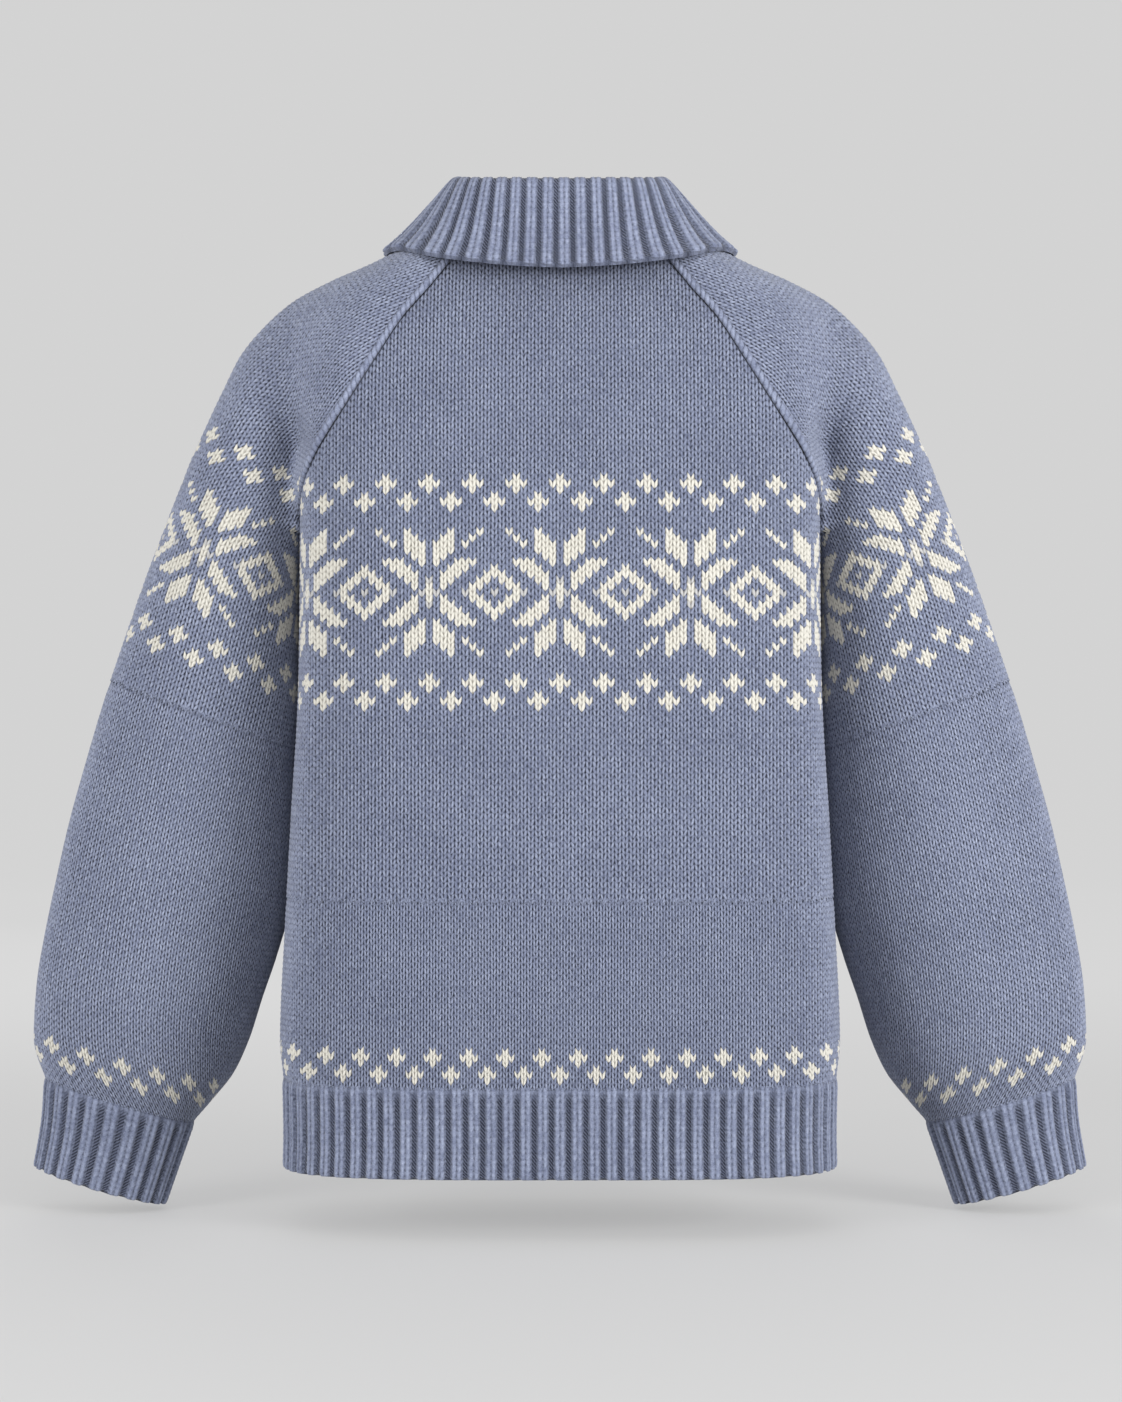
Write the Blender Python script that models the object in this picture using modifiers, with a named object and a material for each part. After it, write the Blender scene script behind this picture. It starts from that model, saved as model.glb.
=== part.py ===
"""Fair isle cardigan: a hip-length raglan cardigan in knitted wool, filled out and hanging.

Metres, +Z up. The front faces -Y, the back +Y, and the wearer's left is +X. The origin is in
the middle of the neck, just below the back of the neckline. Tables are in millimetres.
"""

import math
from collections import namedtuple

import bmesh
import bpy
import numpy as np

MM = 0.001

# Cloth and seams
CLOTH = 3.0 * MM
SEAM = 0.3 * MM
SELVEDGE = 2.0 * MM
WIDEST_SELVEDGE = 0.15
RIB_RISE = 2.2 * MM
RIB_START = 0.35
RIB_COLUMNS = (0.0, 0.27, 0.73)
RIB_HEIGHTS = (0.0, 1.0, 1.0)
COARSE = 3

# Body
BACK_ROUND = 3.6
FRONT_ROUND = 2.8
ARMPIT_HEIGHT = -200.0
RIB_TOP = -598.0
HEM = -662.0
HEM_HEIGHTS = (-610.0, -640.0, HEM)
BACK_HALF_COLUMNS = 10
FRONT_COLUMNS = 10
HEM_RIBS_HALF_BACK = 22
HEM_RIBS_FRONT = 21
BAND_HALF_WIDTH = 16.0
FRONT_NECK = -52.0
NECKLINE_POWER = 1.6
NECKLINE_SHARES = (0.12, 0.3, 0.47, 0.65, 0.82, 1.0)
BAND_RIBS = 3
BAND_ROWS = 16
BAND_RISE = 1.4 * MM
BAND_STEP = 5.0 * MM

BodyRow = namedtuple("BodyRow", "name height half_width back front")
BODY = (
    BodyRow("above the neck", 40.0, 118.0, 30.0, 42.0),
    BodyRow("neck", 6.0, 140.0, 54.0, 62.0),
    BodyRow("shoulder", -20.0, 157.0, 74.0, 76.0),
    BodyRow("yoke", -48.0, 171.0, 91.0, 90.0),
    BodyRow("low yoke", -76.0, 182.0, 102.0, 102.0),
    BodyRow("shoulder blade", -105.0, 188.0, 109.0, 111.0),
    BodyRow("chest", -135.0, 190.2, 112.5, 117.0),
    BodyRow("armpit", ARMPIT_HEIGHT, 190.0, 114.0, 121.0),
    BodyRow("star band", -270.0, 190.5, 113.0, 120.0),
    BodyRow("waist", -330.0, 192.0, 112.0, 118.0),
    BodyRow("low waist", -402.0, 196.5, 110.5, 115.5),
    BodyRow("hip", -497.0, 201.5, 112.0, 115.5),
    BodyRow("blouse over the rib", -570.0, 204.5, 115.0, 118.0),
    BodyRow("rib top", RIB_TOP, 202.0, 112.5, 115.5),
    BodyRow("rib", -640.0, 201.0, 112.5, 115.5),
    BodyRow("hem", HEM, 201.5, 113.5, 116.5),
)
SIDE_ROWS = (-250.0, -300.0, -350.0, -400.0, -450.0, -500.0, -540.0, -572.0)

# Sleeves: each row is a section from the seam on the body side to the outer line of the arm.
# Back and front are the raglan seam points down to the armpit, and the underarm after it.
# Swell is how far the section bellies to the back and front. Hold is how fast the seam's own
# depth dies away from the seam. Closing goes from 0, an arch open to the body, to 1, an oval.
ARMPIT_ROW = 9
SleeveRow = namedtuple(
    "SleeveRow",
    "name outer_x outer_z centre_y back_x back_z front_x front_z swell_back swell_front hold"
    " closing",
)
SLEEVE = (
    SleeveRow("neck", 84, 27, -2, 72, 6, 68, 2, 0, 0, 1, 0),
    SleeveRow("neck side", 113, 14, -2, 93, -23, 89, -25, 1, 1, 1, 0),
    SleeveRow("shoulder", 141, 1, -2, 113, -47.5, 109, -50, 3, 3, 1.1, 0),
    SleeveRow("shoulder point", 172, -13.5, -3, 131, -76, 128, -78, 8, 8, 1.5, 0.1),
    SleeveRow("upper arm", 203, -31, -4, 149.5, -105, 147, -106, 21, 21, 3, 0.25),
    SleeveRow("cap", 233, -62, -6, 167, -131, 165.5, -132, 43, 44, 8, 0.45),
    SleeveRow("low cap", 250, -94, -8, 178, -147.5, 177, -149, 55, 57, 19, 0.66),
    SleeveRow("over the armpit", 263, -122, -10, 186.6, -165, 186, -166, 57, 60, 26, 0.84),
    SleeveRow("near the armpit", 272, -142, -12, 189.7, -184, 189.4, -184, 59, 62, 30, 0.95),
    SleeveRow("armpit", 279, -159, -15, 190, -200, 190, -200, 60, 64, 30, 1),
    SleeveRow("underarm", 292, -190.6, -20, 192, -231, 192, -231, 62, 65, 30, 1),
    SleeveRow("star band", 309, -232, -30, 192.8, -275.6, 192.8, -275.6, 64, 66, 30, 1),
    SleeveRow("elbow", 325.6, -277, -37, 193.5, -325, 193.5, -325, 64, 66, 30, 1),
    SleeveRow("forearm", 341.5, -322, -42, 195, -374, 195, -374, 64, 65, 30, 1),
    SleeveRow("mid forearm", 355.3, -367, -45, 197.5, -421.5, 197.5, -421.5, 63, 64, 30, 1),
    SleeveRow("low forearm", 368, -412, -46, 201.5, -468.6, 201.5, -468.6, 62, 63, 30, 1),
    SleeveRow("fullness", 378.6, -457.3, -48, 213, -511, 213, -511, 61, 62, 30, 1),
    SleeveRow("low fullness", 386.8, -495, -50, 225, -546, 225, -546, 59, 60, 30, 1),
    SleeveRow("fullest", 393, -529, -52, 235, -577, 235, -577, 57, 58, 30, 1),
    SleeveRow("gather", 396, -563, -54, 247, -603, 247, -603, 53, 54, 30, 1),
    SleeveRow("low gather", 395.6, -584, -55, 261, -621, 261, -621, 46, 47, 30, 1),
    SleeveRow("cuff top", 388, -606.5, -56, 277.5, -640, 277.5, -640, 37, 37, 30, 1),
)
CAP_PLACES = (0, 0.85, 1.7, 2.6, 3.5, 4.4, 5.3, 6.2, 7.0, 7.7, 8.3, 8.7, ARMPIT_ROW)
CAP_ROWS = len(CAP_PLACES) - 1
ARM_ROWS = 11
LAST_STEP = 0.08
ARMPIT_EASE = 4
ARMPIT_SLANT = 0.25
SLEEVE_HALF_COLUMNS = 9
ARCH_FULLNESS = 2.0
OVAL_FULLNESS = 0.9
SLEEVE_GIRTH = 420.0

CuffRow = namedtuple("CuffRow", "name outer_x outer_z inner_x inner_z centre_y half_depth")
CUFF = (
    CuffRow("top", 388.0, -606.5, 277.5, -640.0, -56.0, 37.0),
    CuffRow("middle", 390.5, -640.0, 288.5, -671.0, -57.0, 34.0),
    CuffRow("edge", 396.5, -674.0, 299.5, -702.5, -58.0, 33.0),
)
CUFF_RIBS = 22
CUFF_ROWS = 4
CUFF_FLATNESS = 1.4

# Soft creases of the sleeve where it folds at the armpit, at a set distance from the middle
Crease = namedtuple("Crease", "name side distance width depth start full end")
CREASES = (
    Crease("back armpit", 1, 197.0, 9.0, 6.5, 4.0, 6.2, 8.4),
    Crease("front armpit", -1, 198.0, 10.0, 5.0, 4.0, 6.6, 8.6),
)

# Collar: share is the share of the neck seam from the middle of the back to the front end
CollarRow = namedtuple("CollarRow", "name share fold_x fold_y fold_z edge_x edge_y edge_z")
COLLAR = (
    CollarRow("back", 0.0, 0.0, 66.0, 54.0, 0.0, 93.0, -11.0),
    CollarRow("back quarter", 0.17, 38.0, 63.5, 54.5, 43.0, 91.0, -8.5),
    CollarRow("back raglan", 0.33, 69.0, 47.0, 57.0, 90.0, 75.0, -1.0),
    CollarRow("behind the side", 0.42, 81.0, 24.0, 60.5, 117.0, 43.0, 8.0),
    CollarRow("side", 0.5, 85.0, -4.0, 62.0, 131.0, 3.0, 11.0),
    CollarRow("before the side", 0.58, 82.0, -29.0, 58.0, 126.0, -42.0, 6.0),
    CollarRow("front raglan", 0.67, 71.0, -52.0, 47.0, 111.0, -82.0, -16.0),
    CollarRow("front quarter", 0.84, 43.0, -82.0, 18.0, 73.0, -117.0, -52.0),
    CollarRow("front end", 1.0, 4.0, -97.0, -5.0, 16.0, -132.0, -84.0),
)
COLLAR_CLOTH = 3.4 * MM
COLLAR_RIBS_HALF = 20
COLLAR_STAND_ROWS = 3
COLLAR_FALL_ROWS = 5
COLLAR_END = 3.0
STAND_PULL = 1.1
FOLD_PULL_STAND = 32.0
FOLD_PULL_FALL = 48.0
EDGE_PULL = 0.9
FALL_EASE = 0.35

# Buttons
BUTTONS = 6
BUTTON_RADIUS = 11.0 * MM
BUTTON_THICKNESS = 3.6 * MM
BUTTON_RIM = 1.6 * MM
BUTTON_SIDES = 14
TOP_BUTTON = -78.0
LOW_BUTTON = -640.0

# Colours, as sRGB shares, with roughness
Wool = namedtuple("Wool", "name colour roughness")
BLUE = Wool("Blue wool", (0.52, 0.55, 0.645), 0.92)
RIBBED = Wool("Blue ribbed wool", (0.50, 0.53, 0.63), 0.92)
HORN = Wool("Horn button", (0.25, 0.27, 0.33), 0.4)


def smooth(values, at):
    """Curve through values at whole numbers, with the slope of their neighbours at each."""
    values = np.asarray(values, float)
    slopes = np.gradient(values)
    at = np.asarray(at, float)
    low = np.clip(np.floor(at).astype(int), 0, len(values) - 2)
    u = at - low
    rise = 3 * u**2 - 2 * u**3
    start = u**3 - 2 * u**2 + u
    end = u**3 - u**2
    return (
        values[low] * (1 - rise)
        + values[low + 1] * rise
        + slopes[low] * start
        + slopes[low + 1] * end
    )


def column(table, field):
    return np.array([getattr(row, field) for row in table], float)


def body_size(height, field):
    """Half width, back depth or front depth of the body at a height."""
    heights = column(BODY, "height")
    place = np.interp(-np.asarray(height, float), -heights, np.arange(len(heights)))
    return smooth(column(BODY, field), place)


def body_depth(x, height, side):
    """How far forward or back the body's wall stands at a distance from its middle."""
    power = BACK_ROUND if side > 0 else FRONT_ROUND
    share = np.clip(np.abs(x) / body_size(height, "half_width"), 0, 1)
    reach = body_size(height, "back" if side > 0 else "front")
    return side * reach * (1 - share**power) ** (1 / power)


def body_quarter(height, side):
    """Points along one quarter of the body's outline and the length to each."""
    power = BACK_ROUND if side > 0 else FRONT_ROUND
    turn = np.linspace(0, math.pi / 2, 181)
    x = body_size(height, "half_width") * np.sin(turn) ** (2 / power)
    reach = body_size(height, "back" if side > 0 else "front")
    y = side * reach * np.cos(turn).clip(0) ** (2 / power)
    run = np.concatenate([[0], np.cumsum(np.hypot(np.diff(x), np.diff(y)))])
    return x, y, run


def body_row(start, end, heights, side):
    """Points spread along the body's outline from one distance to another, at given heights.

    Each point has its own height, so that a row can slope along the neckline.
    """
    points = []
    for share, height in heights:
        x, y, run = body_quarter(height, side)
        first = np.interp(start, x, run)
        last = run[-1] if end is None else np.interp(end, x, run)
        place = first + share * (last - first)
        points.append((np.interp(place, run, x), np.interp(place, run, y), height))
    return points


def raglan(side, station):
    """The raglan seam on the back or front, from the neck to the armpit."""
    face = "back" if side > 0 else "front"
    x = smooth(column(SLEEVE, face + "_x"), station)
    z = smooth(column(SLEEVE, face + "_z"), station)
    return x, body_depth(x, z, side), z


def sleeve_section(station, columns):
    """One section of the sleeve, from the back seam over the arm to the front seam.

    The angle runs from 0 at a seam to a quarter turn at the outer line. Distance and height
    go from the seam to the outer line by a power of its sine. Depth is the seam's own depth,
    dying away by a power of the cosine, plus the swell times the sine of twice the angle.
    """
    value = {name: smooth(column(SLEEVE, name), station) for name in SleeveRow._fields[1:]}
    fullness = ARCH_FULLNESS + (OVAL_FULLNESS - ARCH_FULLNESS) * value["closing"]
    points = []
    for share in columns:
        side = 1 if share <= 0.5 else -1
        face = "back" if side > 0 else "front"
        angle = math.pi * (share if side > 0 else 1 - share)
        seam_x, seam_z = value[face + "_x"], value[face + "_z"]
        seam_y = value["centre_y"]
        if station <= ARMPIT_ROW:
            seam_y = float(body_depth(seam_x, seam_z, side))
        elif station < ARMPIT_ROW + 1:
            seam_y *= station - ARMPIT_ROW
        reach = math.sin(angle) ** (1 + value["closing"])
        x = seam_x + (value["outer_x"] - seam_x) * reach
        z = seam_z + (value["outer_z"] - seam_z) * reach
        fade = max(math.cos(angle), 0) ** value["hold"]
        belly = max(math.sin(2 * angle), 0) ** fullness
        y = value["centre_y"] + (seam_y - value["centre_y"]) * fade
        y += side * value["swell_" + face] * belly
        y -= crease_depth(station, x, side) * side * min(1, 6 * reach)
        points.append((x, y, z))
    return points


def crease_depth(station, x, side):
    total = 0.0
    for crease in CREASES:
        if crease.side == side and crease.start < station < crease.end:
            span = crease.full - crease.start
            if station > crease.full:
                span = crease.end - crease.full
            strength = math.cos(math.pi / 2 * min(abs(station - crease.full) / span, 1)) ** 2
            off = (x - crease.distance) / crease.width
            total += crease.depth * strength * math.exp(-off * off)
    return total


def unit(vectors):
    return vectors / np.linalg.norm(vectors, axis=-1, keepdims=True)


def outward(grid):
    """Unit vectors square to a grid of points, from its rows and columns."""
    return unit(np.cross(np.gradient(grid, axis=1), np.gradient(grid, axis=0)))


def material_for(wool):
    found = bpy.data.materials.get(wool.name)
    if found:
        return found
    made = bpy.data.materials.new(wool.name)
    made.use_nodes = True
    shader = made.node_tree.nodes["Principled BSDF"]
    linear = [((share + 0.055) / 1.055) ** 2.4 for share in wool.colour]
    shader.inputs["Base Color"].default_value = (*linear, 1)
    shader.inputs["Roughness"].default_value = wool.roughness
    shader.inputs["Metallic"].default_value = 0
    made.diffuse_color = (*linear, 1)
    return made


def add_object(name, mesh, wool, collection):
    mesh.materials.append(material_for(wool))
    mesh.shade_smooth()
    mesh.set_sharp_from_angle(angle=math.radians(50))
    made = bpy.data.objects.new(name, mesh)
    collection.objects.link(made)
    return made


def mirror(piece):
    modifier = piece.modifiers.new("Mirror", "MIRROR")
    modifier.merge_threshold = 0.0001


def mesh_from(name, points, faces):
    mesh = bpy.data.meshes.new(name)
    mesh.from_pydata([tuple(point) for point in points], [], faces)
    mesh.update()
    return mesh


def grid_faces(rows, columns, first=0, flip=False):
    faces = []
    for i in range(rows - 1):
        for j in range(columns - 1):
            a = first + i * columns + j
            quad = (a, a + 1, a + columns + 1, a + columns)
            faces.append(quad[::-1] if flip else quad)
    return faces


def cloth_panel(name, grid, wool, collection, flip, symmetric=False):
    """A panel whose outer face is a grid of points in millimetres, thickened inwards."""
    grid = np.asarray(grid, float) * MM
    rows, columns = grid.shape[:2]
    mesh = mesh_from(name, grid.reshape(-1, 3), grid_faces(rows, columns, flip=flip))
    piece = add_object(name, mesh, wool, collection)
    if symmetric:
        mirror(piece)
    solidify = piece.modifiers.new("Cloth", "SOLIDIFY")
    solidify.thickness = CLOTH
    solidify.offset = -1
    return piece


def selvedge(columns, length, both=False, drawn=1.0):
    """Even shares with a narrow last step, so that a panel's edge is square to its face.

    The even ones can be drawn back from the last by a share of their length.
    """
    edge = min(SELVEDGE / MM / length, WIDEST_SELVEDGE)
    inner = np.linspace(edge if both else 0, 1 - edge, columns - 1 if both else columns)
    inner[1:-1] *= drawn
    return np.concatenate([[0]] * both + [inner, [1]])


def span(start, end, height, side):
    """Length along the body's outline between two distances from its middle."""
    x, _, run = body_quarter(height, side)
    last = run[-1] if end is None else np.interp(end, x, run)
    return float(last - np.interp(start, x, run))


def body_rows(side):
    """Height and seam point of each row of a body panel, from the neck down."""
    x, _, z = raglan(side, CAP_PLACES)
    rows = list(zip(x, z))
    rows += [(None, height) for height in SIDE_ROWS]
    gap = SEAM / 2 / MM
    rows += [(None, RIB_TOP + SELVEDGE / MM), (None, RIB_TOP + gap)]
    rows[CAP_ROWS] = (None, rows[CAP_ROWS][1])
    return rows


def drawn_back(lengths, heights):
    """How far each row's columns are drawn back, so that they don't slant at the armpit."""
    drawn = []
    reach = lengths[0]
    for i, length in enumerate(lengths):
        if i > CAP_ROWS - ARMPIT_EASE:
            reach += ARMPIT_SLANT * (heights[i - 1] - heights[i])
        else:
            reach = length
        reach = min(reach, length)
        drawn.append(reach / length)
    return drawn


def build_back(collection):
    gap = SEAM / 2 / MM
    grid = []
    rows = body_rows(1)
    lengths = [span(0.0, end, height, 1) for end, height in rows]
    drawn = drawn_back(lengths, [height for _, height in rows])
    for (end, height), length, draw in zip(rows, lengths, drawn):
        shares = selvedge(BACK_HALF_COLUMNS, length, drawn=draw)
        row = body_row(0, end, [(share, height) for share in shares], 1)
        x, y, z = row[-1]
        row[-1] = (x - gap, y, z) if end else (x, y + gap, z)
        row[0] = (0.0, row[0][1], height)
        grid.append(row)
    cloth_panel("back_panel", grid, BLUE, collection, flip=False, symmetric=True)


def front_neckline(share):
    """The neckline from the raglan seam to the button band, steep and then levelling out."""
    x_seam, _, z_seam = raglan(-1, 0.0)
    x = x_seam + (BAND_HALF_WIDTH - x_seam) * share
    z = FRONT_NECK + (z_seam - FRONT_NECK) * (1 - share) ** NECKLINE_POWER
    return float(x), float(z)


def front_starts(rows):
    """Where each row of a front begins: on the neckline, then down the middle edge."""
    starts = [front_neckline(share) for share in NECKLINE_SHARES]
    straight = rows[CAP_ROWS][1]
    left = CAP_ROWS + 1 - len(starts)
    for i in range(1, left + 1):
        height = FRONT_NECK + (straight - FRONT_NECK) * i / left
        starts.append((BAND_HALF_WIDTH, height))
    starts += [(BAND_HALF_WIDTH, height) for _, height in rows[CAP_ROWS + 1 :]]
    return starts


def build_front(name, hand, collection):
    gap = SEAM / 2 / MM
    rows = body_rows(-1)
    starts = front_starts(rows)
    lengths = [span(begin[0], row[0], row[1], -1) for row, begin in zip(rows, starts)]
    drawn = drawn_back(lengths, [height for _, height in rows])
    grid = []
    for i, ((end, height), (start, start_height)) in enumerate(zip(rows, starts)):
        shares = selvedge(FRONT_COLUMNS, lengths[i], both=True, drawn=drawn[i])
        heights = [(share, start_height + (height - start_height) * share) for share in shares]
        row = body_row(start, end, heights, -1)
        x, y, z = row[-1]
        row[-1] = (x - gap, y, z) if end else (x, y - gap, z)
        row[0] = (row[0][0] + gap, row[0][1], row[0][2])
        grid.append([(hand * x, y, z) for x, y, z in row])
    cloth_panel(name, grid, BLUE, collection, flip=hand > 0)


def build_sleeve(name, hand, collection):
    """The sleeve is one sheet, its two edges a seam's width apart under the arm."""
    last = len(SLEEVE) - 1
    arm = np.linspace(ARMPIT_ROW, last - LAST_STEP, ARM_ROWS + 1)[1:]
    half = selvedge(SLEEVE_HALF_COLUMNS, SLEEVE_GIRTH / 2)[::-1]
    shares = np.concatenate([0.5 - half / 2, 0.5 + half[::-1][1:] / 2])
    gap = SEAM / 2 / MM
    grid = []
    for station in (*CAP_PLACES, *arm, last):
        row = sleeve_section(station, shares)
        for end, near in ((0, 1), (-1, -2)):
            pull = np.subtract(row[near], row[end])
            pull = pull / np.linalg.norm(pull)
            if station > ARMPIT_ROW:
                pull = np.array((0.0, 1.0 if end == 0 else -1.0, 0.0))
            row[end] = tuple(np.add(row[end], pull * gap))
        if station == last:
            row = [tuple(np.subtract(point, cuff_down(CUFF[0]) * gap)) for point in row]
        grid.append([(hand * x, y, z) for x, y, z in row])
    cloth_panel(name, grid, BLUE, collection, flip=hand < 0)


def rib_shares(ribs):
    """Places of a rib's columns along a strip, as shares of it, and how raised each is."""
    shares = [(rib + part) / ribs for rib in range(ribs) for part in RIB_COLUMNS] + [1.0]
    raised = list(RIB_HEIGHTS) * ribs + [RIB_HEIGHTS[0]]
    return np.array(shares), np.array(raised)


def bridge(first, second, flip):
    """Triangles between two runs of points that may differ in number."""
    faces = []
    i = j = 0
    while i < len(first) - 1 or j < len(second) - 1:
        ahead = (i + 1) / (len(first) - 1) if i < len(first) - 1 else 2
        behind = (j + 1) / (len(second) - 1) if j < len(second) - 1 else 2
        if ahead <= behind:
            face = (first[i], first[i + 1], second[j])
            i += 1
        else:
            face = (first[i], second[j + 1], second[j])
            j += 1
        faces.append(face[::-1] if flip else face)
    return faces


def ribbed_wall(name, outer, inner, wool, collection, flip, open_start=False, closed=False):
    """A wall between a ribbed outer grid and a plain inner one with fewer columns."""
    rows, columns = outer.shape[:2]
    inner_columns = inner.shape[1]
    first = rows * columns
    points = np.concatenate([outer.reshape(-1, 3), inner.reshape(-1, 3)])
    faces = grid_faces(rows, columns, flip=flip)
    faces += grid_faces(rows, inner_columns, first=first, flip=not flip)
    low = (rows - 1) * columns
    low_inner = first + (rows - 1) * inner_columns
    top = bridge(range(columns), range(first, first + inner_columns), not flip)
    bottom = bridge(
        range(low, low + columns), range(low_inner, low_inner + inner_columns), flip
    )
    faces += top + bottom
    for i in range(rows - 1):
        a, b = i * columns, (i + 1) * columns
        c, d = first + i * inner_columns, first + (i + 1) * inner_columns
        start = (a, c, d, b)
        end = (a + columns - 1, b + columns - 1, d + inner_columns - 1, c + inner_columns - 1)
        if not (open_start or closed):
            faces.append(start if flip else start[::-1])
        if not closed:
            faces.append(end if flip else end[::-1])
    mesh = mesh_from(name, points, faces)
    if closed:
        weld(mesh)
    return add_object(name, mesh, wool, collection)


def weld(mesh):
    work = bmesh.new()
    work.from_mesh(mesh)
    bmesh.ops.remove_doubles(work, verts=work.verts, dist=0.00001)
    work.to_mesh(mesh)
    work.free()


def coarse_columns(grid):
    count = grid.shape[1] - 1
    picked = list(range(0, count, COARSE)) + [count]
    if len(picked) > 2 and picked[-1] - picked[-2] < COARSE / 2:
        del picked[-2]
    return grid[:, picked]


def level(vectors):
    flat = vectors.copy()
    flat[..., 2] = 0
    return unit(flat)


def hem_grid(start, side, shares):
    gap = SEAM / 2 / MM
    heights = [RIB_TOP - gap, *HEM_HEIGHTS]
    grid = [body_row(start, None, [(s, h) for s in shares], side) for h in heights]
    return np.array(grid, float)


def build_hem(collection):
    """The hem's ribbed strips: one on the back and one on each front."""
    gap = SEAM / 2 / MM
    shares, raised = rib_shares(HEM_RIBS_HALF_BACK)
    grid = hem_grid(0.0, 1, shares)
    grid[:, 0, 0] = 0.0
    grid[:, -1, 1] += gap
    build_rib_strip("hem_rib_back", grid, raised, 1, False, collection, symmetric=True)
    shares, raised = rib_shares(HEM_RIBS_FRONT)
    for name, hand in (("hem_rib_left", 1), ("hem_rib_right", -1)):
        grid = hem_grid(BAND_HALF_WIDTH, -1, shares)
        grid[:, 0, 0] += gap
        grid[:, -1, 1] -= gap
        grid[..., 0] *= hand
        build_rib_strip(name, grid, raised, -1, hand > 0, collection)


def build_rib_strip(name, grid, raised, side, flip, collection, symmetric=False):
    grid = grid * MM
    facing = level(outward(grid))
    if np.sum(facing[:, :, 1] * side) < 0:
        facing = -facing
    hand = np.sign(grid[0, -1, 0])
    facing[:, -1] = (hand, 0, 0)
    if symmetric:
        facing[:, 0] = (0, side, 0)
    swell = np.ones(len(grid))
    swell[0] = RIB_START
    outer = grid + facing * (raised[None, :, None] * swell[:, None, None] * RIB_RISE)
    inner = coarse_columns(grid - facing * CLOTH)
    piece = ribbed_wall(name, outer, inner, RIBBED, collection, flip, open_start=symmetric)
    if symmetric:
        mirror(piece)


def cuff_down(row):
    """Unit vector down the arm, square to a cuff's section."""
    lean = unit(np.array((row.outer_x - row.inner_x, 0.0, row.outer_z - row.inner_z)))
    return np.cross((0, 1, 0), lean)


def cuff_ring(row, shares):
    """An oval leaning with the arm, from the underarm over the back to the underarm."""
    points = []
    for share in shares:
        angle = 2 * math.pi * share
        reach = (1 - math.cos(angle)) / 2
        x = row.inner_x + (row.outer_x - row.inner_x) * reach
        z = row.inner_z + (row.outer_z - row.inner_z) * reach
        points.append((x, row.centre_y + row.half_depth * math.sin(angle), z))
    return points


def build_cuff(name, hand, collection):
    shares, raised = rib_shares(CUFF_RIBS)
    shares, raised = shares[:-1], raised[:-1]
    places = np.linspace(0, len(CUFF) - 1, CUFF_ROWS)
    rows = [CuffRow("", *(smooth(column(CUFF, f), p) for f in CuffRow._fields[1:])) for p in places]
    grid = np.array([cuff_ring(row, shares) for row in rows]) * MM
    down = np.array([cuff_down(row) for row in rows])
    grid[0] += down[0] * SEAM / 2
    middle = grid.mean(axis=1, keepdims=True)
    facing = grid - middle
    facing -= (facing * down[:, None]).sum(axis=-1, keepdims=True) * down[:, None]
    facing[..., 1] *= CUFF_FLATNESS
    facing = unit(facing)
    swell = np.array([RIB_START] + [1.0] * (CUFF_ROWS - 1))
    outer = grid + facing * (raised[None, :, None] * swell[:, None, None] * RIB_RISE)
    inner = grid - facing * CLOTH
    for part in (outer, inner):
        part[..., 0] *= hand
    outer = np.concatenate([outer, outer[:, :1]], axis=1)
    inner = coarse_columns(np.concatenate([inner, inner[:, :1]], axis=1))
    ribbed_wall(name, outer, inner, RIBBED, collection, flip=hand < 0, closed=True)


def neck_seam(share):
    """The neck seam, from the middle of the back round to the front end, by its length."""
    back_x, _, back_z = raglan(1, 0.0)
    back = [(x, body_depth(x, back_z, 1), back_z) for x in np.linspace(0, back_x, 12)]
    side = sleeve_section(0.0, np.linspace(0, 1, 25))
    front = []
    for share_of_front in (0.0, *NECKLINE_SHARES):
        x, z = front_neckline(share_of_front)
        front.append((x, body_depth(x, z, -1), z))
    front.append((COLLAR_END, body_depth(COLLAR_END, FRONT_NECK, -1), FRONT_NECK))
    path = np.array([*back, *side[1:], *front[1:]], float)
    run = np.concatenate([[0], np.cumsum(np.linalg.norm(np.diff(path, axis=0), axis=1))])
    place = np.asarray(share) * run[-1]
    return np.stack([np.interp(place, run, path[:, k]) for k in range(3)], axis=-1)


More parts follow.
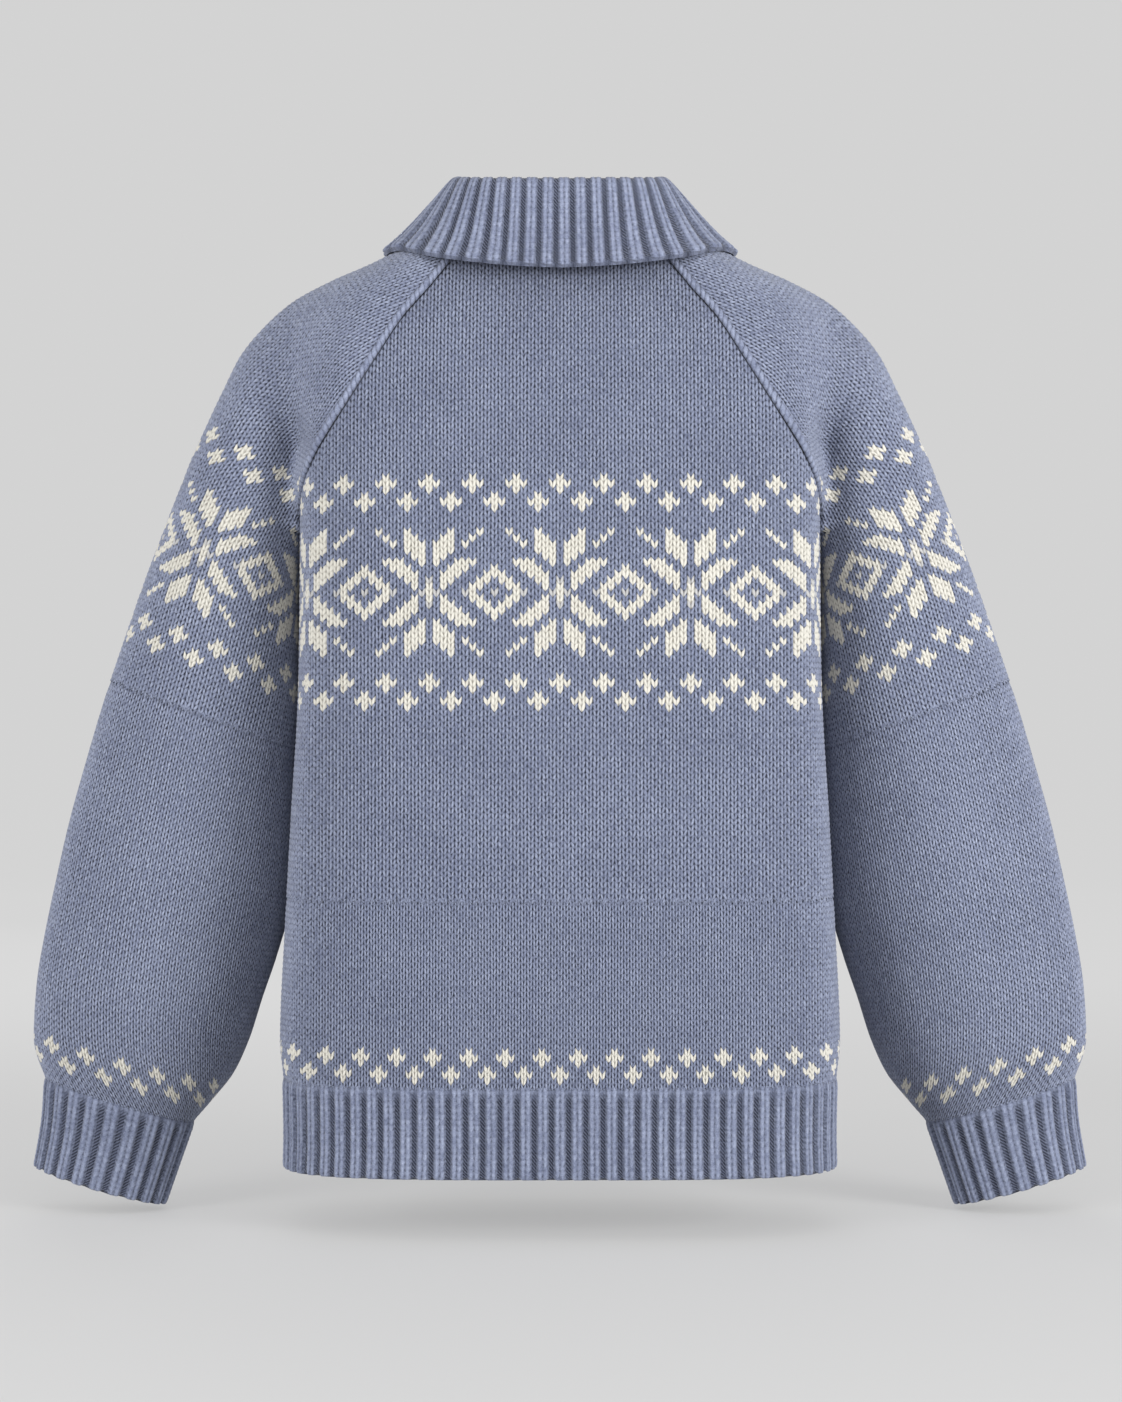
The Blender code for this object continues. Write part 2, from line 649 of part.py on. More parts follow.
def build_collar(collection):
    """A stand that rises from the neck seam and folds over into a fall, in one ribbed strip.

    Each column is two cubic curves: from the seam, straight up, to the fold, where it runs
    level and outwards, and from the fold down to the edge.
    """
    shares, raised = rib_shares(COLLAR_RIBS_HALF)
    place = np.interp(shares, column(COLLAR, "share"), np.arange(len(COLLAR)))
    seam = neck_seam(shares)
    ends = {}
    for spot in ("fold", "edge"):
        parts = [smooth(column(COLLAR, f"{spot}_{axis}"), place) for axis in "xyz"]
        ends[spot] = np.stack(parts, axis=1)
    fold, edge = ends["fold"], ends["edge"]
    fall = edge - fold
    spread = unit(np.stack([fall[:, 0], fall[:, 1], np.zeros(len(fall))], axis=1))
    seam -= spread * ((COLLAR_CLOTH + 2 * SEAM) / MM)
    seam[:, 2] += 2 * SEAM / MM
    rise = np.zeros_like(seam)
    rise[:, 2] = np.linalg.norm(fold - seam, axis=1) * STAND_PULL
    rows = []
    for step in np.linspace(0, 1, COLLAR_STAND_ROWS + 1):
        rows.append(cubic(seam, rise, fold, spread * FOLD_PULL_STAND, step))
    drop = fall * EDGE_PULL
    for step in np.linspace(0, 1, COLLAR_FALL_ROWS + 1)[1:]:
        eased = step * (1 - FALL_EASE) + FALL_EASE * step**2
        rows.append(cubic(fold, spread * FOLD_PULL_FALL, edge, drop, eased))
    grid = np.array(rows) * MM
    grid[:, 0, 0] = 0
    facing = outward(grid)
    if facing[-1, 0, 1] < 0:
        facing = -facing
    facing[:, 0, 0] = 0
    facing[0] = -spread
    facing = unit(facing)
    swell = np.ones(len(grid))
    swell[0] = 0.0
    outer = grid + facing * (raised[None, :, None] * swell[:, None, None] * RIB_RISE)
    inner = coarse_columns(grid - facing * COLLAR_CLOTH)
    piece = ribbed_wall("collar", outer, inner, RIBBED, collection, flip=False, open_start=True)
    mirror(piece)


def cubic(start, start_slope, end, end_slope, u):
    rise = 3 * u**2 - 2 * u**3
    return (
        start * (1 - rise)
        + end * rise
        + start_slope * (u**3 - 2 * u**2 + u)
        + end_slope * (u**3 - u**2)
    )


def band_face(height, lift):
    """How far forward a band's face stands at a height, straight from row to row."""
    heights = np.linspace(HEM, FRONT_NECK, BAND_ROWS)
    return float(np.interp(height, heights, body_depth(0.0, heights, -1))) * MM - lift


def build_band(name, lift, collection):
    """A ribbed band down the middle of the front, from the neck to the hem."""
    shares, raised = rib_shares(BAND_RIBS)
    gap = SEAM / 2 / MM
    heights = np.linspace(FRONT_NECK, HEM, BAND_ROWS)
    half = BAND_HALF_WIDTH - gap
    grid = []
    for height in heights:
        y = band_face(height, lift)
        row = [((half - 2 * half * share) * MM, y, height * MM) for share in shares]
        grid.append(row)
    grid = np.array(grid)
    facing = np.zeros_like(grid)
    facing[..., 1] = -1
    outer = grid + facing * (raised[None, :, None] * BAND_RISE)
    inner = (grid - facing * CLOTH)[:, [0, grid.shape[1] // 2, -1]]
    ribbed_wall(name, outer, inner, RIBBED, collection, flip=False)


def build_buttons(collection):
    """Domed discs with a rim, on the outer band."""
    radius, rim, thick = BUTTON_RADIUS, BUTTON_RIM, BUTTON_THICKNESS
    profile = (
        (0.0, thick * 0.72),
        (radius - 2 * rim, thick * 0.72),
        (radius - rim, thick),
        (radius, thick * 0.55),
        (radius - rim, 0.0),
        (0.0, 0.0),
    )
    for i, height in enumerate(np.linspace(TOP_BUTTON, LOW_BUTTON, BUTTONS)):
        name = f"button_{i + 1}"
        edges = [(k, k + 1) for k in range(len(profile) - 1)]
        mesh = bpy.data.meshes.new(name)
        mesh.from_pydata([(x, 0.0, z) for x, z in profile], edges, [])
        button = add_object(name, mesh, HORN, collection)
        turn = button.modifiers.new("Turn", "SCREW")
        turn.steps = BUTTON_SIDES
        turn.render_steps = BUTTON_SIDES
        turn.use_merge_vertices = True
        turn.merge_threshold = 0.0001
        face = band_face(height, BAND_STEP) - BAND_RISE - SEAM
        button.location = (0, face, height * MM)
        slope = band_face(height - 1, 0) - band_face(height + 1, 0)
        button.rotation_euler = (math.pi / 2 + math.atan2(slope, 2 * MM), 0, 0)


def main():
    for old in list(bpy.data.objects):
        bpy.data.objects.remove(old, do_unlink=True)
    collection = bpy.data.collections.new("Fair isle cardigan")
    bpy.context.scene.collection.children.link(collection)
    build_back(collection)
    for name, hand in (("left", 1), ("right", -1)):
        build_front(f"front_{name}", hand, collection)
        build_sleeve(f"sleeve_{name}", hand, collection)
        build_cuff(f"cuff_{name}", hand, collection)
    build_hem(collection)
    build_collar(collection)
    build_band("band_under", 0.0, collection)
    build_band("band_over", BAND_STEP, collection)
    build_buttons(collection)


main()
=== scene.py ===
"""Fair isle cardigan: its knitted surfaces, finishes, light and camera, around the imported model.

Each knitted piece is a shell about 3 mm thick. Its outer face is a grid laid stitch by stitch:
wales run across it and courses down it, and each stitch is a V of two raised legs. A chart
says which stitches are cream. Tables and lengths are in millimetres, and meshes in metres.
"""

import logging
import math
from dataclasses import dataclass, field, replace
from enum import Enum
from typing import Callable, NamedTuple, Sequence

import bpy
import numpy as np
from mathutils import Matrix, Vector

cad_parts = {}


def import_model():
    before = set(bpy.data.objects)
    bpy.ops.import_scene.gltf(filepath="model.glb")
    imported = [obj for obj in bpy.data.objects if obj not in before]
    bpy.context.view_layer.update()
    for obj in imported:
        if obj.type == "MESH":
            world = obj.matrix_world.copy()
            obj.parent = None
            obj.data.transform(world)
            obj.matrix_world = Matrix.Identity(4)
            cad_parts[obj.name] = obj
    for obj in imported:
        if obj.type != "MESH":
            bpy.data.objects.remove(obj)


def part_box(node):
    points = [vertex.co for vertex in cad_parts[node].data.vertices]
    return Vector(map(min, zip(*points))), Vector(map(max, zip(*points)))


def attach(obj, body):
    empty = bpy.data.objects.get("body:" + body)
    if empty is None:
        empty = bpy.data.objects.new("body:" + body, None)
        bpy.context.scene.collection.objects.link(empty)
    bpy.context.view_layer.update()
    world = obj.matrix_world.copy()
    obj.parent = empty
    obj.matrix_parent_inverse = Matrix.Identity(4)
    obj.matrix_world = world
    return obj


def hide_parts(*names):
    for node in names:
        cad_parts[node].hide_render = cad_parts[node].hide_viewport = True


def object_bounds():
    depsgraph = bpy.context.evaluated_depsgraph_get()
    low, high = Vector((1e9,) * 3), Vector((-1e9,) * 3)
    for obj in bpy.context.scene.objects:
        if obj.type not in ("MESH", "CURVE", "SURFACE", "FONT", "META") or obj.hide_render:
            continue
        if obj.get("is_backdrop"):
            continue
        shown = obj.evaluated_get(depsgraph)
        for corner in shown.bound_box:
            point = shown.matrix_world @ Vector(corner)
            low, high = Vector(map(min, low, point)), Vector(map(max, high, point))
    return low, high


MM = 0.001
Array = np.ndarray
Triple = tuple[float, float, float]
log = logging.getLogger("cardigan")


# Shapes shared with the solids


class BodyRow(NamedTuple):
    """Half width and depths of the body at a height."""

    name: str
    height: float
    half_width: float
    back: float
    front: float


BODY = (
    BodyRow("above the neck", 40.0, 118.0, 30.0, 42.0),
    BodyRow("neck", 6.0, 140.0, 54.0, 62.0),
    BodyRow("shoulder", -20.0, 157.0, 74.0, 76.0),
    BodyRow("yoke", -48.0, 171.0, 91.0, 90.0),
    BodyRow("low yoke", -76.0, 182.0, 102.0, 102.0),
    BodyRow("shoulder blade", -105.0, 188.0, 109.0, 111.0),
    BodyRow("chest", -135.0, 190.2, 112.5, 117.0),
    BodyRow("armpit", -200.0, 190.0, 114.0, 121.0),
    BodyRow("star band", -270.0, 190.5, 113.0, 120.0),
    BodyRow("waist", -330.0, 192.0, 112.0, 118.0),
    BodyRow("low waist", -402.0, 196.5, 110.5, 115.5),
    BodyRow("hip", -497.0, 201.5, 112.0, 115.5),
    BodyRow("blouse over the rib", -570.0, 204.5, 115.0, 118.0),
    BodyRow("rib top", -598.0, 202.0, 112.5, 115.5),
    BodyRow("rib", -640.0, 201.0, 112.5, 115.5),
    BodyRow("hem", -662.0, 201.5, 113.5, 116.5),
)


class SleeveRow(NamedTuple):
    """A section of the sleeve, from the seam on the body side to the outer line."""

    name: str
    outer_x: float
    outer_z: float
    centre_y: float
    back_x: float
    back_z: float
    front_x: float
    front_z: float
    swell_back: float
    swell_front: float
    hold: float
    closing: float


SLEEVE = (
    SleeveRow("neck", 84, 27, -2, 72, 6, 68, 2, 0, 0, 1, 0),
    SleeveRow("neck side", 113, 12.5, -2, 93, -23, 89, -25, 1, 1, 1, 0),
    SleeveRow("shoulder", 141, -1, -2, 113, -47.5, 109, -50, 3, 3, 1.1, 0),
    SleeveRow("shoulder point", 172, -13.5, -3, 131, -76, 128, -78, 8, 8, 1.5, 0.1),
    SleeveRow("upper arm", 203, -31, -4, 149.5, -105, 147, -106, 21, 21, 3, 0.25),
    SleeveRow("cap", 233, -62, -6, 167, -131, 165.5, -132, 43, 44, 8, 0.45),
    SleeveRow("low cap", 250, -94, -8, 178, -147.5, 177, -149, 55, 57, 19, 0.66),
    SleeveRow("over the armpit", 263, -122, -10, 186.6, -165, 186, -166, 57, 60, 26, 0.84),
    SleeveRow("near the armpit", 272, -142, -12, 189.7, -184, 189.4, -184, 59, 62, 30, 0.95),
    SleeveRow("armpit", 279, -159, -15, 190, -200, 190, -200, 60, 64, 30, 1),
    SleeveRow("underarm", 292, -190.6, -20, 192, -231, 192, -231, 62, 65, 30, 1),
    SleeveRow("star band", 309, -232, -30, 192.8, -275.6, 192.8, -275.6, 64, 66, 30, 1),
    SleeveRow("elbow", 325.6, -277, -37, 193.5, -325, 193.5, -325, 64, 66, 30, 1),
    SleeveRow("forearm", 341.5, -322, -42, 195, -374, 195, -374, 64, 65, 30, 1),
    SleeveRow("mid forearm", 355.3, -367, -45, 197.5, -421.5, 197.5, -421.5, 63, 64, 30, 1),
    SleeveRow("low forearm", 368, -412, -46, 201.5, -468.6, 201.5, -468.6, 62, 63, 30, 1),
    SleeveRow("fullness", 378.6, -457.3, -48, 213, -511, 213, -511, 61, 62, 30, 1),
    SleeveRow("low fullness", 386.8, -495, -50, 225, -546, 225, -546, 59, 60, 30, 1),
    SleeveRow("fullest", 393, -529, -52, 235, -577, 235, -577, 57, 58, 30, 1),
    SleeveRow("gather", 396, -563, -54, 247, -603, 247, -603, 53, 54, 30, 1),
    SleeveRow("low gather", 395.6, -584, -55, 261, -621, 261, -621, 46, 47, 30, 1),
    SleeveRow("cuff top", 388, -606.5, -56, 277.5, -640, 277.5, -640, 37, 37, 30, 1),
)
ARMPIT_ROW = 9


class Bump(NamedTuple):
    """A soft ridge along the sleeve, or a trough where its height is below 0.

    A crease's place is its distance from the middle of the body, and a fold's is its angle
    from the seam. Start, full and end are stations of the sleeve.
    """

    name: str
    side: int
    place: float
    width: float
    height: float
    start: float
    full: float
    end: float


CREASES = (
    Bump("back armpit", 1, 191.0, 9.0, -8.5, 4.0, 6.4, 8.8),
    Bump("front armpit", -1, 198.0, 10.0, -5.0, 4.0, 6.6, 8.6),
)
FOLDS = (
    Bump("back ridge", 1, 0.74, 0.2, 2.4, 9.0, 15.0, 20.6),
    Bump("back outer trough", 1, 1.14, 0.15, -2.0, 10.0, 15.0, 20.6),
    Bump("back inner roll", 1, 0.42, 0.14, 2.0, 10.0, 15.0, 20.6),
    Bump("front ridge", -1, 0.8, 0.22, 2.4, 10.0, 16.0, 20.6),
    Bump("front outer trough", -1, 1.12, 0.16, -2.0, 9.5, 14.0, 20.0),
)


class CuffRow(NamedTuple):
    """An oval section of the cuff."""

    name: str
    outer_x: float
    outer_z: float
    inner_x: float
    inner_z: float
    centre_y: float
    half_depth: float


CUFF = (
    CuffRow("top", 388.0, -606.5, 277.5, -640.0, -56.0, 37.0),
    CuffRow("middle", 390.5, -640.0, 288.5, -671.0, -57.0, 34.0),
    CuffRow("edge", 396.5, -674.0, 299.5, -702.5, -58.0, 33.0),
)


class CollarRow(NamedTuple):
    """Fold and edge of the collar at a share of the neck seam, from the back to the front."""

    name: str
    share: float
    fold_x: float
    fold_y: float
    fold_z: float
    edge_x: float
    edge_y: float
    edge_z: float


COLLAR = (
    CollarRow("back", 0.0, 0.0, 66.0, 54.0, 0.0, 93.0, -11.0),
    CollarRow("back quarter", 0.17, 38.0, 63.5, 54.5, 43.0, 91.0, -8.5),
    CollarRow("back raglan", 0.33, 67.0, 46.0, 57.0, 90.0, 75.0, -1.0),
    CollarRow("behind the side", 0.42, 76.0, 23.0, 60.5, 117.0, 43.0, 8.0),
    CollarRow("side", 0.5, 77.0, -4.0, 62.0, 131.0, 3.0, 9.0),
    CollarRow("before the side", 0.58, 77.0, -29.0, 58.0, 126.0, -42.0, 6.0),
    CollarRow("front raglan", 0.67, 71.0, -52.0, 47.0, 111.0, -82.0, -16.0),
    CollarRow("front quarter", 0.84, 43.0, -82.0, 18.0, 73.0, -117.0, -52.0),
    CollarRow("front end", 1.0, 4.0, -97.0, -5.0, 16.0, -132.0, -84.0),
)



class Named(Enum):
    """Choices whose names are words in the names of pieces and tables."""

    @property
    def word(self) -> str:
        """The name in lower case."""
        return self.name.lower()


class Side(Named):
    """Which face of the body a panel lies on, as its direction along Y."""

    BACK = 1
    FRONT = -1


class Hand(Named):
    """The wearer's left or right, as its direction along X."""

    LEFT = 1
    RIGHT = -1


class Structure(Enum):
    """How a fabric's wales are worked."""

    STOCKING = "stocking stitch"
    RIB = "two by two rib"


# Numbers and curves


def cubic(start: Array, start_slope: Array, end: Array, end_slope: Array, u: Array) -> Array:
    """Cubic from start to end with the given slopes, by Hermite's terms.

    Args:
        start: Points at u = 0.
        start_slope: Directions and strengths at u = 0.
        end: Points at u = 1.
        end_slope: Directions and strengths at u = 1.
        u: Where to read, from 0 to 1, shaped to broadcast with the points.

    Returns:
        The points.
    """
    rise = 3 * u**2 - 2 * u**3
    return (
        start * (1 - rise)
        + end * rise
        + start_slope * (u**3 - 2 * u**2 + u)
        + end_slope * (u**3 - u**2)
    )


def smooth(values: Sequence[float] | Array, at: Array) -> Array:
    """Curve through values at whole numbers, with the mean slope of the neighbours at each.

    Args:
        values: The numbers passed through.
        at: Places to read, in steps of one value.

    Returns:
        The curve's height at each place.
    """
    values = np.asarray(values, float)
    slopes = np.gradient(values)
    at = np.asarray(at, float)
    low = np.clip(np.floor(at).astype(int), 0, len(values) - 2)
    return cubic(values[low], slopes[low], values[low + 1], slopes[low + 1], at - low)


def unit(vectors: Array) -> Array:
    """Each vector divided by its length."""
    length = np.linalg.norm(vectors, axis=-1, keepdims=True)
    return vectors / np.maximum(length, 1e-9)


def column(table: Sequence[NamedTuple], name: str) -> Array:
    """One named column of a table."""
    return np.array([getattr(row, name) for row in table], float)


def arc(points: Array) -> Array:
    """Length along each row of points (..., columns, 3), from its first column."""
    steps = np.linalg.norm(np.diff(points, axis=-2), axis=-1)
    return np.concatenate([np.zeros_like(steps[..., :1]), np.cumsum(steps, axis=-1)], axis=-1)


def read_path(points: Array, run: Array, place: Array) -> Array:
    """Points at places along a path, given how far along it each of its points lies."""
    return np.stack([np.interp(place, run, points[:, axis]) for axis in range(3)], axis=-1)


def wave(phase: Array) -> Array:
    """Triangle wave: 0 at whole numbers and 1 half way between them."""
    return 1 - np.abs(2 * (phase - np.floor(phase)) - 1)


def pairs(first: Array, second: Array) -> Array:
    """Two grids of numbers as rows of two, one row for each place on the grid."""
    return np.stack(np.broadcast_arrays(first, second), axis=-1).reshape(-1, 2)


# Gauge and charts

STAR_CHART = (
    "X-...-X..-",
    "X.X...XX..",
    "-.XX...XX.",
    "..XXX...XX",
    "...XXX...X",
    ".X..XXX...",
    ".XX.......",
    ".XXX......",
    ".XXX.X....",
    "..XX..X...",
    "...X...X..",
)
CHART_SIGNS = {"X": 1.0, "-": 0.6, ".": 0.0}
STAR_REPEAT = 18
CROSS_REPEAT = 6


class CrossRow(NamedTuple):
    """A row of small crosses: the course of its middle and the wale of one of them."""

    course: int
    wale: int


@dataclass(frozen=True)
class Chart:
    """Which stitches are cream. Column 0 and course 0 are a star's middle, where it has stars.

    The star chart is a quarter of the repeat, and is turned over both ways.
    """

    stars: bool
    crosses: tuple[CrossRow, ...]

    def cream(self, wales: Array, courses: Array) -> Array:
        """How cream each stitch is, from 0 to 1.

        Args:
            wales: Whole wale numbers.
            courses: Whole course numbers, of the same shape.

        Returns:
            1 on a cream stitch, 0 on a blue one, and between them where little cream shows.
        """
        found = np.zeros(wales.shape)
        if self.stars:
            half = STAR_REPEAT // 2
            quarter = np.array([[CHART_SIGNS[sign] for sign in line] for line in STAR_CHART])
            across = np.abs((wales + half) % STAR_REPEAT - half)
            down = np.abs(courses)
            inside = down < len(STAR_CHART)
            picked = quarter[np.minimum(down, len(STAR_CHART) - 1), across]
            found = np.where(inside, picked, found)
        for cross in self.crosses:
            middle = CROSS_REPEAT // 2
            off = np.abs((wales - cross.wale + middle) % CROSS_REPEAT - middle)
            drop = np.abs(courses - cross.course)
            arm = (off == 0) & (drop <= 1) | (off == 1) & (drop == 0)
            found = np.where(arm, 1.0, found)
        return found


PLAIN = Chart(False, ())
BELOW_STARS = (CrossRow(15, 0), CrossRow(18, 3))
BODY_BAND = Chart(True, (CrossRow(-18, 0), CrossRow(-15, 3), *BELOW_STARS))
SLEEVE_BAND = Chart(True, (CrossRow(-19, -2), CrossRow(-16, 1), *BELOW_STARS))


@dataclass
class Cloth:
    """A stretch of fabric as a dense grid of points in mm, with its wale and course numbers.

    Columns stand at even wale numbers from low to high, which may differ from row to row.
    """

    points: Array
    courses: Array
    low: Array
    high: Array
    facing: Triple = (0.0, 1.0, 0.0)
    normals: Array = field(init=False)

    def __post_init__(self) -> None:
        """Works out the unit vectors square to the grid, turned to face outwards."""
        across = np.gradient(self.points, axis=1)
        down = np.gradient(self.points, axis=0)
        self.normals = unit(np.cross(across, down))
        rows, columns = self.points.shape[:2]
        if np.dot(self.normals[rows - 2, columns // 2], self.facing) < 0:
            self.normals = -self.normals

    def at(self, wales: Array, courses: Array) -> tuple[Array, Array]:
        """Reads the fabric between its points, by shares of the four around.

        Args:
            wales: Wale numbers.
            courses: Course numbers, of the same shape.

        Returns:
            The points and the unit vectors square to the fabric.
        """
        rows, columns = self.points.shape[:2]
        row = np.interp(courses, self.courses, np.arange(rows))
        low = np.interp(courses, self.courses, self.low)
        high = np.interp(courses, self.courses, self.high)
        share = np.clip((wales - low) / np.maximum(high - low, 1e-6), 0, 1) * (columns - 1)
        i = np.clip(np.floor(row).astype(int), 0, rows - 2)
        j = np.clip(np.floor(share).astype(int), 0, columns - 2)
        p = (row - i)[..., None]
        q = (share - j)[..., None]
        found = []
        for grid in (self.points, self.normals):
            upper = grid[i, j] * (1 - q) + grid[i, j + 1] * q
            lower = grid[i + 1, j] * (1 - q) + grid[i + 1, j + 1] * q
            found.append(upper * (1 - p) + lower * p)
        return found[0], unit(found[1])

    def flat_size(self) -> tuple[float, float, float]:
        """Size of the stretch laid flat.

        Returns:
            Width and length in metres, and area in square metres.
        """
        widths = arc(self.points)[:, -1]
        middle = self.points[:, self.points.shape[1] // 2]
        length = np.linalg.norm(np.diff(middle, axis=0), axis=1).sum()
        across = np.gradient(self.points, axis=1)
        down = np.gradient(self.points, axis=0)
        area = np.linalg.norm(np.cross(across, down), axis=2)[:-1, :-1].sum()
        width = widths.max()
        length = max(length, area / width)
        return width * MM, length * MM, area * MM * MM


# Meshes


def grid_faces(ids: Array) -> Array:
    """Two triangles for each cell of a grid of point numbers."""
    a, b, c, d = ids[:-1, :-1], ids[:-1, 1:], ids[1:, 1:], ids[1:, :-1]
    return np.stack([a, b, c, a, c, d], axis=-1).reshape(-1, 3)


def proper(faces: Array) -> Array:
    """Which triangles have three different corners."""
    return (faces != np.roll(faces, 1, axis=1)).all(axis=1)


def strip(first: Array, first_at: Array, second: Array, second_at: Array) -> Array:
    """Triangles that fill the gap between two runs of points whose ends match.

    The run whose next point comes first along the strip takes the next step.

    Args:
        first: Point numbers of one run.
        first_at: How far along the strip each is.
        second: Point numbers of the other run.
        second_at: How far along the strip each is.

    Returns:
        Triangles as rows of three point numbers.
    """
    ahead = np.concatenate([first_at[1:], second_at[1:]])
    runs = np.repeat([0, 1], [len(first) - 1, len(second) - 1])
    runs = runs[np.lexsort((runs, ahead))]
    i = np.cumsum(runs == 0)
    j = np.cumsum(runs == 1)
    third = np.where(runs == 0, first[i], second[j])
    return np.stack([first[i - (runs == 0)], third, second[j - (runs == 1)]], axis=1)


def turned(rings: Array, closed: bool) -> tuple[Array, Array]:
    """Surface of rings turned round an axis, the first of which is one point.

    Args:
        rings: Points, a row for each ring.
        closed: True where the last ring is one point too.

    Returns:
        The points in use, and triangles as rows of three point numbers.
    """
    ids = np.arange(rings.shape[0] * rings.shape[1]).reshape(rings.shape[:2])
    ids[0] = 0
    if closed:
        ids[-1] = ids[-1, 0]
    faces = grid_faces(np.concatenate([ids, ids[:, :1]], axis=1))
    used, faces = np.unique(faces[proper(faces)], return_inverse=True)
    return rings.reshape(-1, 3)[used], faces.reshape(-1, 3)


def outwards(points: Array, faces: Array) -> bool:
    """Whether a closed surface's triangles face outwards, so that its volume isn't below 0."""
    corners = points[faces]
    cross = np.cross(corners[:, 1], corners[:, 2])
    return np.einsum("ij,ij->i", corners[:, 0], cross).sum() >= 0


def link(name: str, data: bpy.types.ID) -> bpy.types.Object:
    """A new object for this data, linked to the scene."""
    made = bpy.data.objects.new(name, data)
    bpy.context.scene.collection.objects.link(made)
    return made


def make_mesh(name: str, points: Array, faces: Array, finish: "Finish") -> bpy.types.Object:
    """A smooth mesh object in one finish, linked to the scene.

    Args:
        name: The object's name.
        points: Points in metres.
        faces: Triangles as rows of three point numbers.
        finish: Its finish.

    Returns:
        The object.
    """
    mesh = bpy.data.meshes.new(name)
    mesh.from_pydata(points.tolist(), [], faces.tolist())
    mesh.materials.append(finish.material())
    mesh.shade_smooth()
    return link(name, mesh)


# Knitting


QUARTERS = 4
RIB_WALES = 4
LINE_MARGIN = 0.3
# Painted shade on the rims: how much darker their colour is painted than the inside's
RIM_PAINTED_SHADE = 0.3
RIB_WIDTHS = (0.0, 0.19, 0.81, 1.0)
RIB_PHASES = (0.0, 0.25, 0.75, 1.0)

OUTER_FROM, OUTER_SPAN, INNER_SPAN = 0.14, 0.85, 0.1
END_RIM, SIDE_RIM, RIM_WIDTH = 0.11, 0.125, 0.006
RIM_CORNERS = (0.0, 0.4, 0.2)


class Ease(NamedTuple):
    """How relief rises from an end of the cloth: the least share of it, and in how many courses."""

    least: float
    reach: float


EASES = {
    (Structure.STOCKING, False): Ease(0.0, 0.6),
    (Structure.STOCKING, True): Ease(1.0, 0.4),
    (Structure.RIB, False): Ease(0.35, 0.8),
    (Structure.RIB, True): Ease(0.25, 1.8),
}
SIDE_REACH = {Structure.STOCKING: 0.5, Structure.RIB: 0.3}


@dataclass(frozen=True)
class Relief:
    """How far the yarn stands out of the fabric, in mm, and how far a V dips, in courses.

    Reaches are distances over which something fades, in wales or courses. Shares with rib in
    their names are of a rib's width, from the middle of its two knitted wales.
    """

    leg: float = 0.7
    furrow: float = -0.8
    fork: float = -0.3
    dip: float = 0.8
    dip_rate: float = 2.5
    dip_room: float = 0.8
    hump: float = 0.4
    unrest: float = 0.03
    strand: tuple[float, ...] = (1.1, 1.7, 1.9, 1.7, 1.1)
    valley: float = -0.7
    purl: float = 0.25
    rib_dip: float = 0.5
    rib_dip_end: float = 0.26
    rib_hollow: float = 0.15
    rib_hollow_reach: float = 0.2
    scallop: float = 0.45
    scallop_reach: float = 1.5
    edge_sink: float = 0.7
    sink_reach: float = 1.1
    fold_reach: float = 3.5
    fold_loss: float = 0.6
    fold_lift: float = 0.9


class Grid(NamedTuple):
    """The grid of stitches: its lines and columns, and where each line starts and stops."""

    lines: Array
    quarters: Array
    low: Array
    high: Array
    start: Array
    stop: Array
    wales: Array
    to_side: Array
    to_first: Array
    to_last: Array


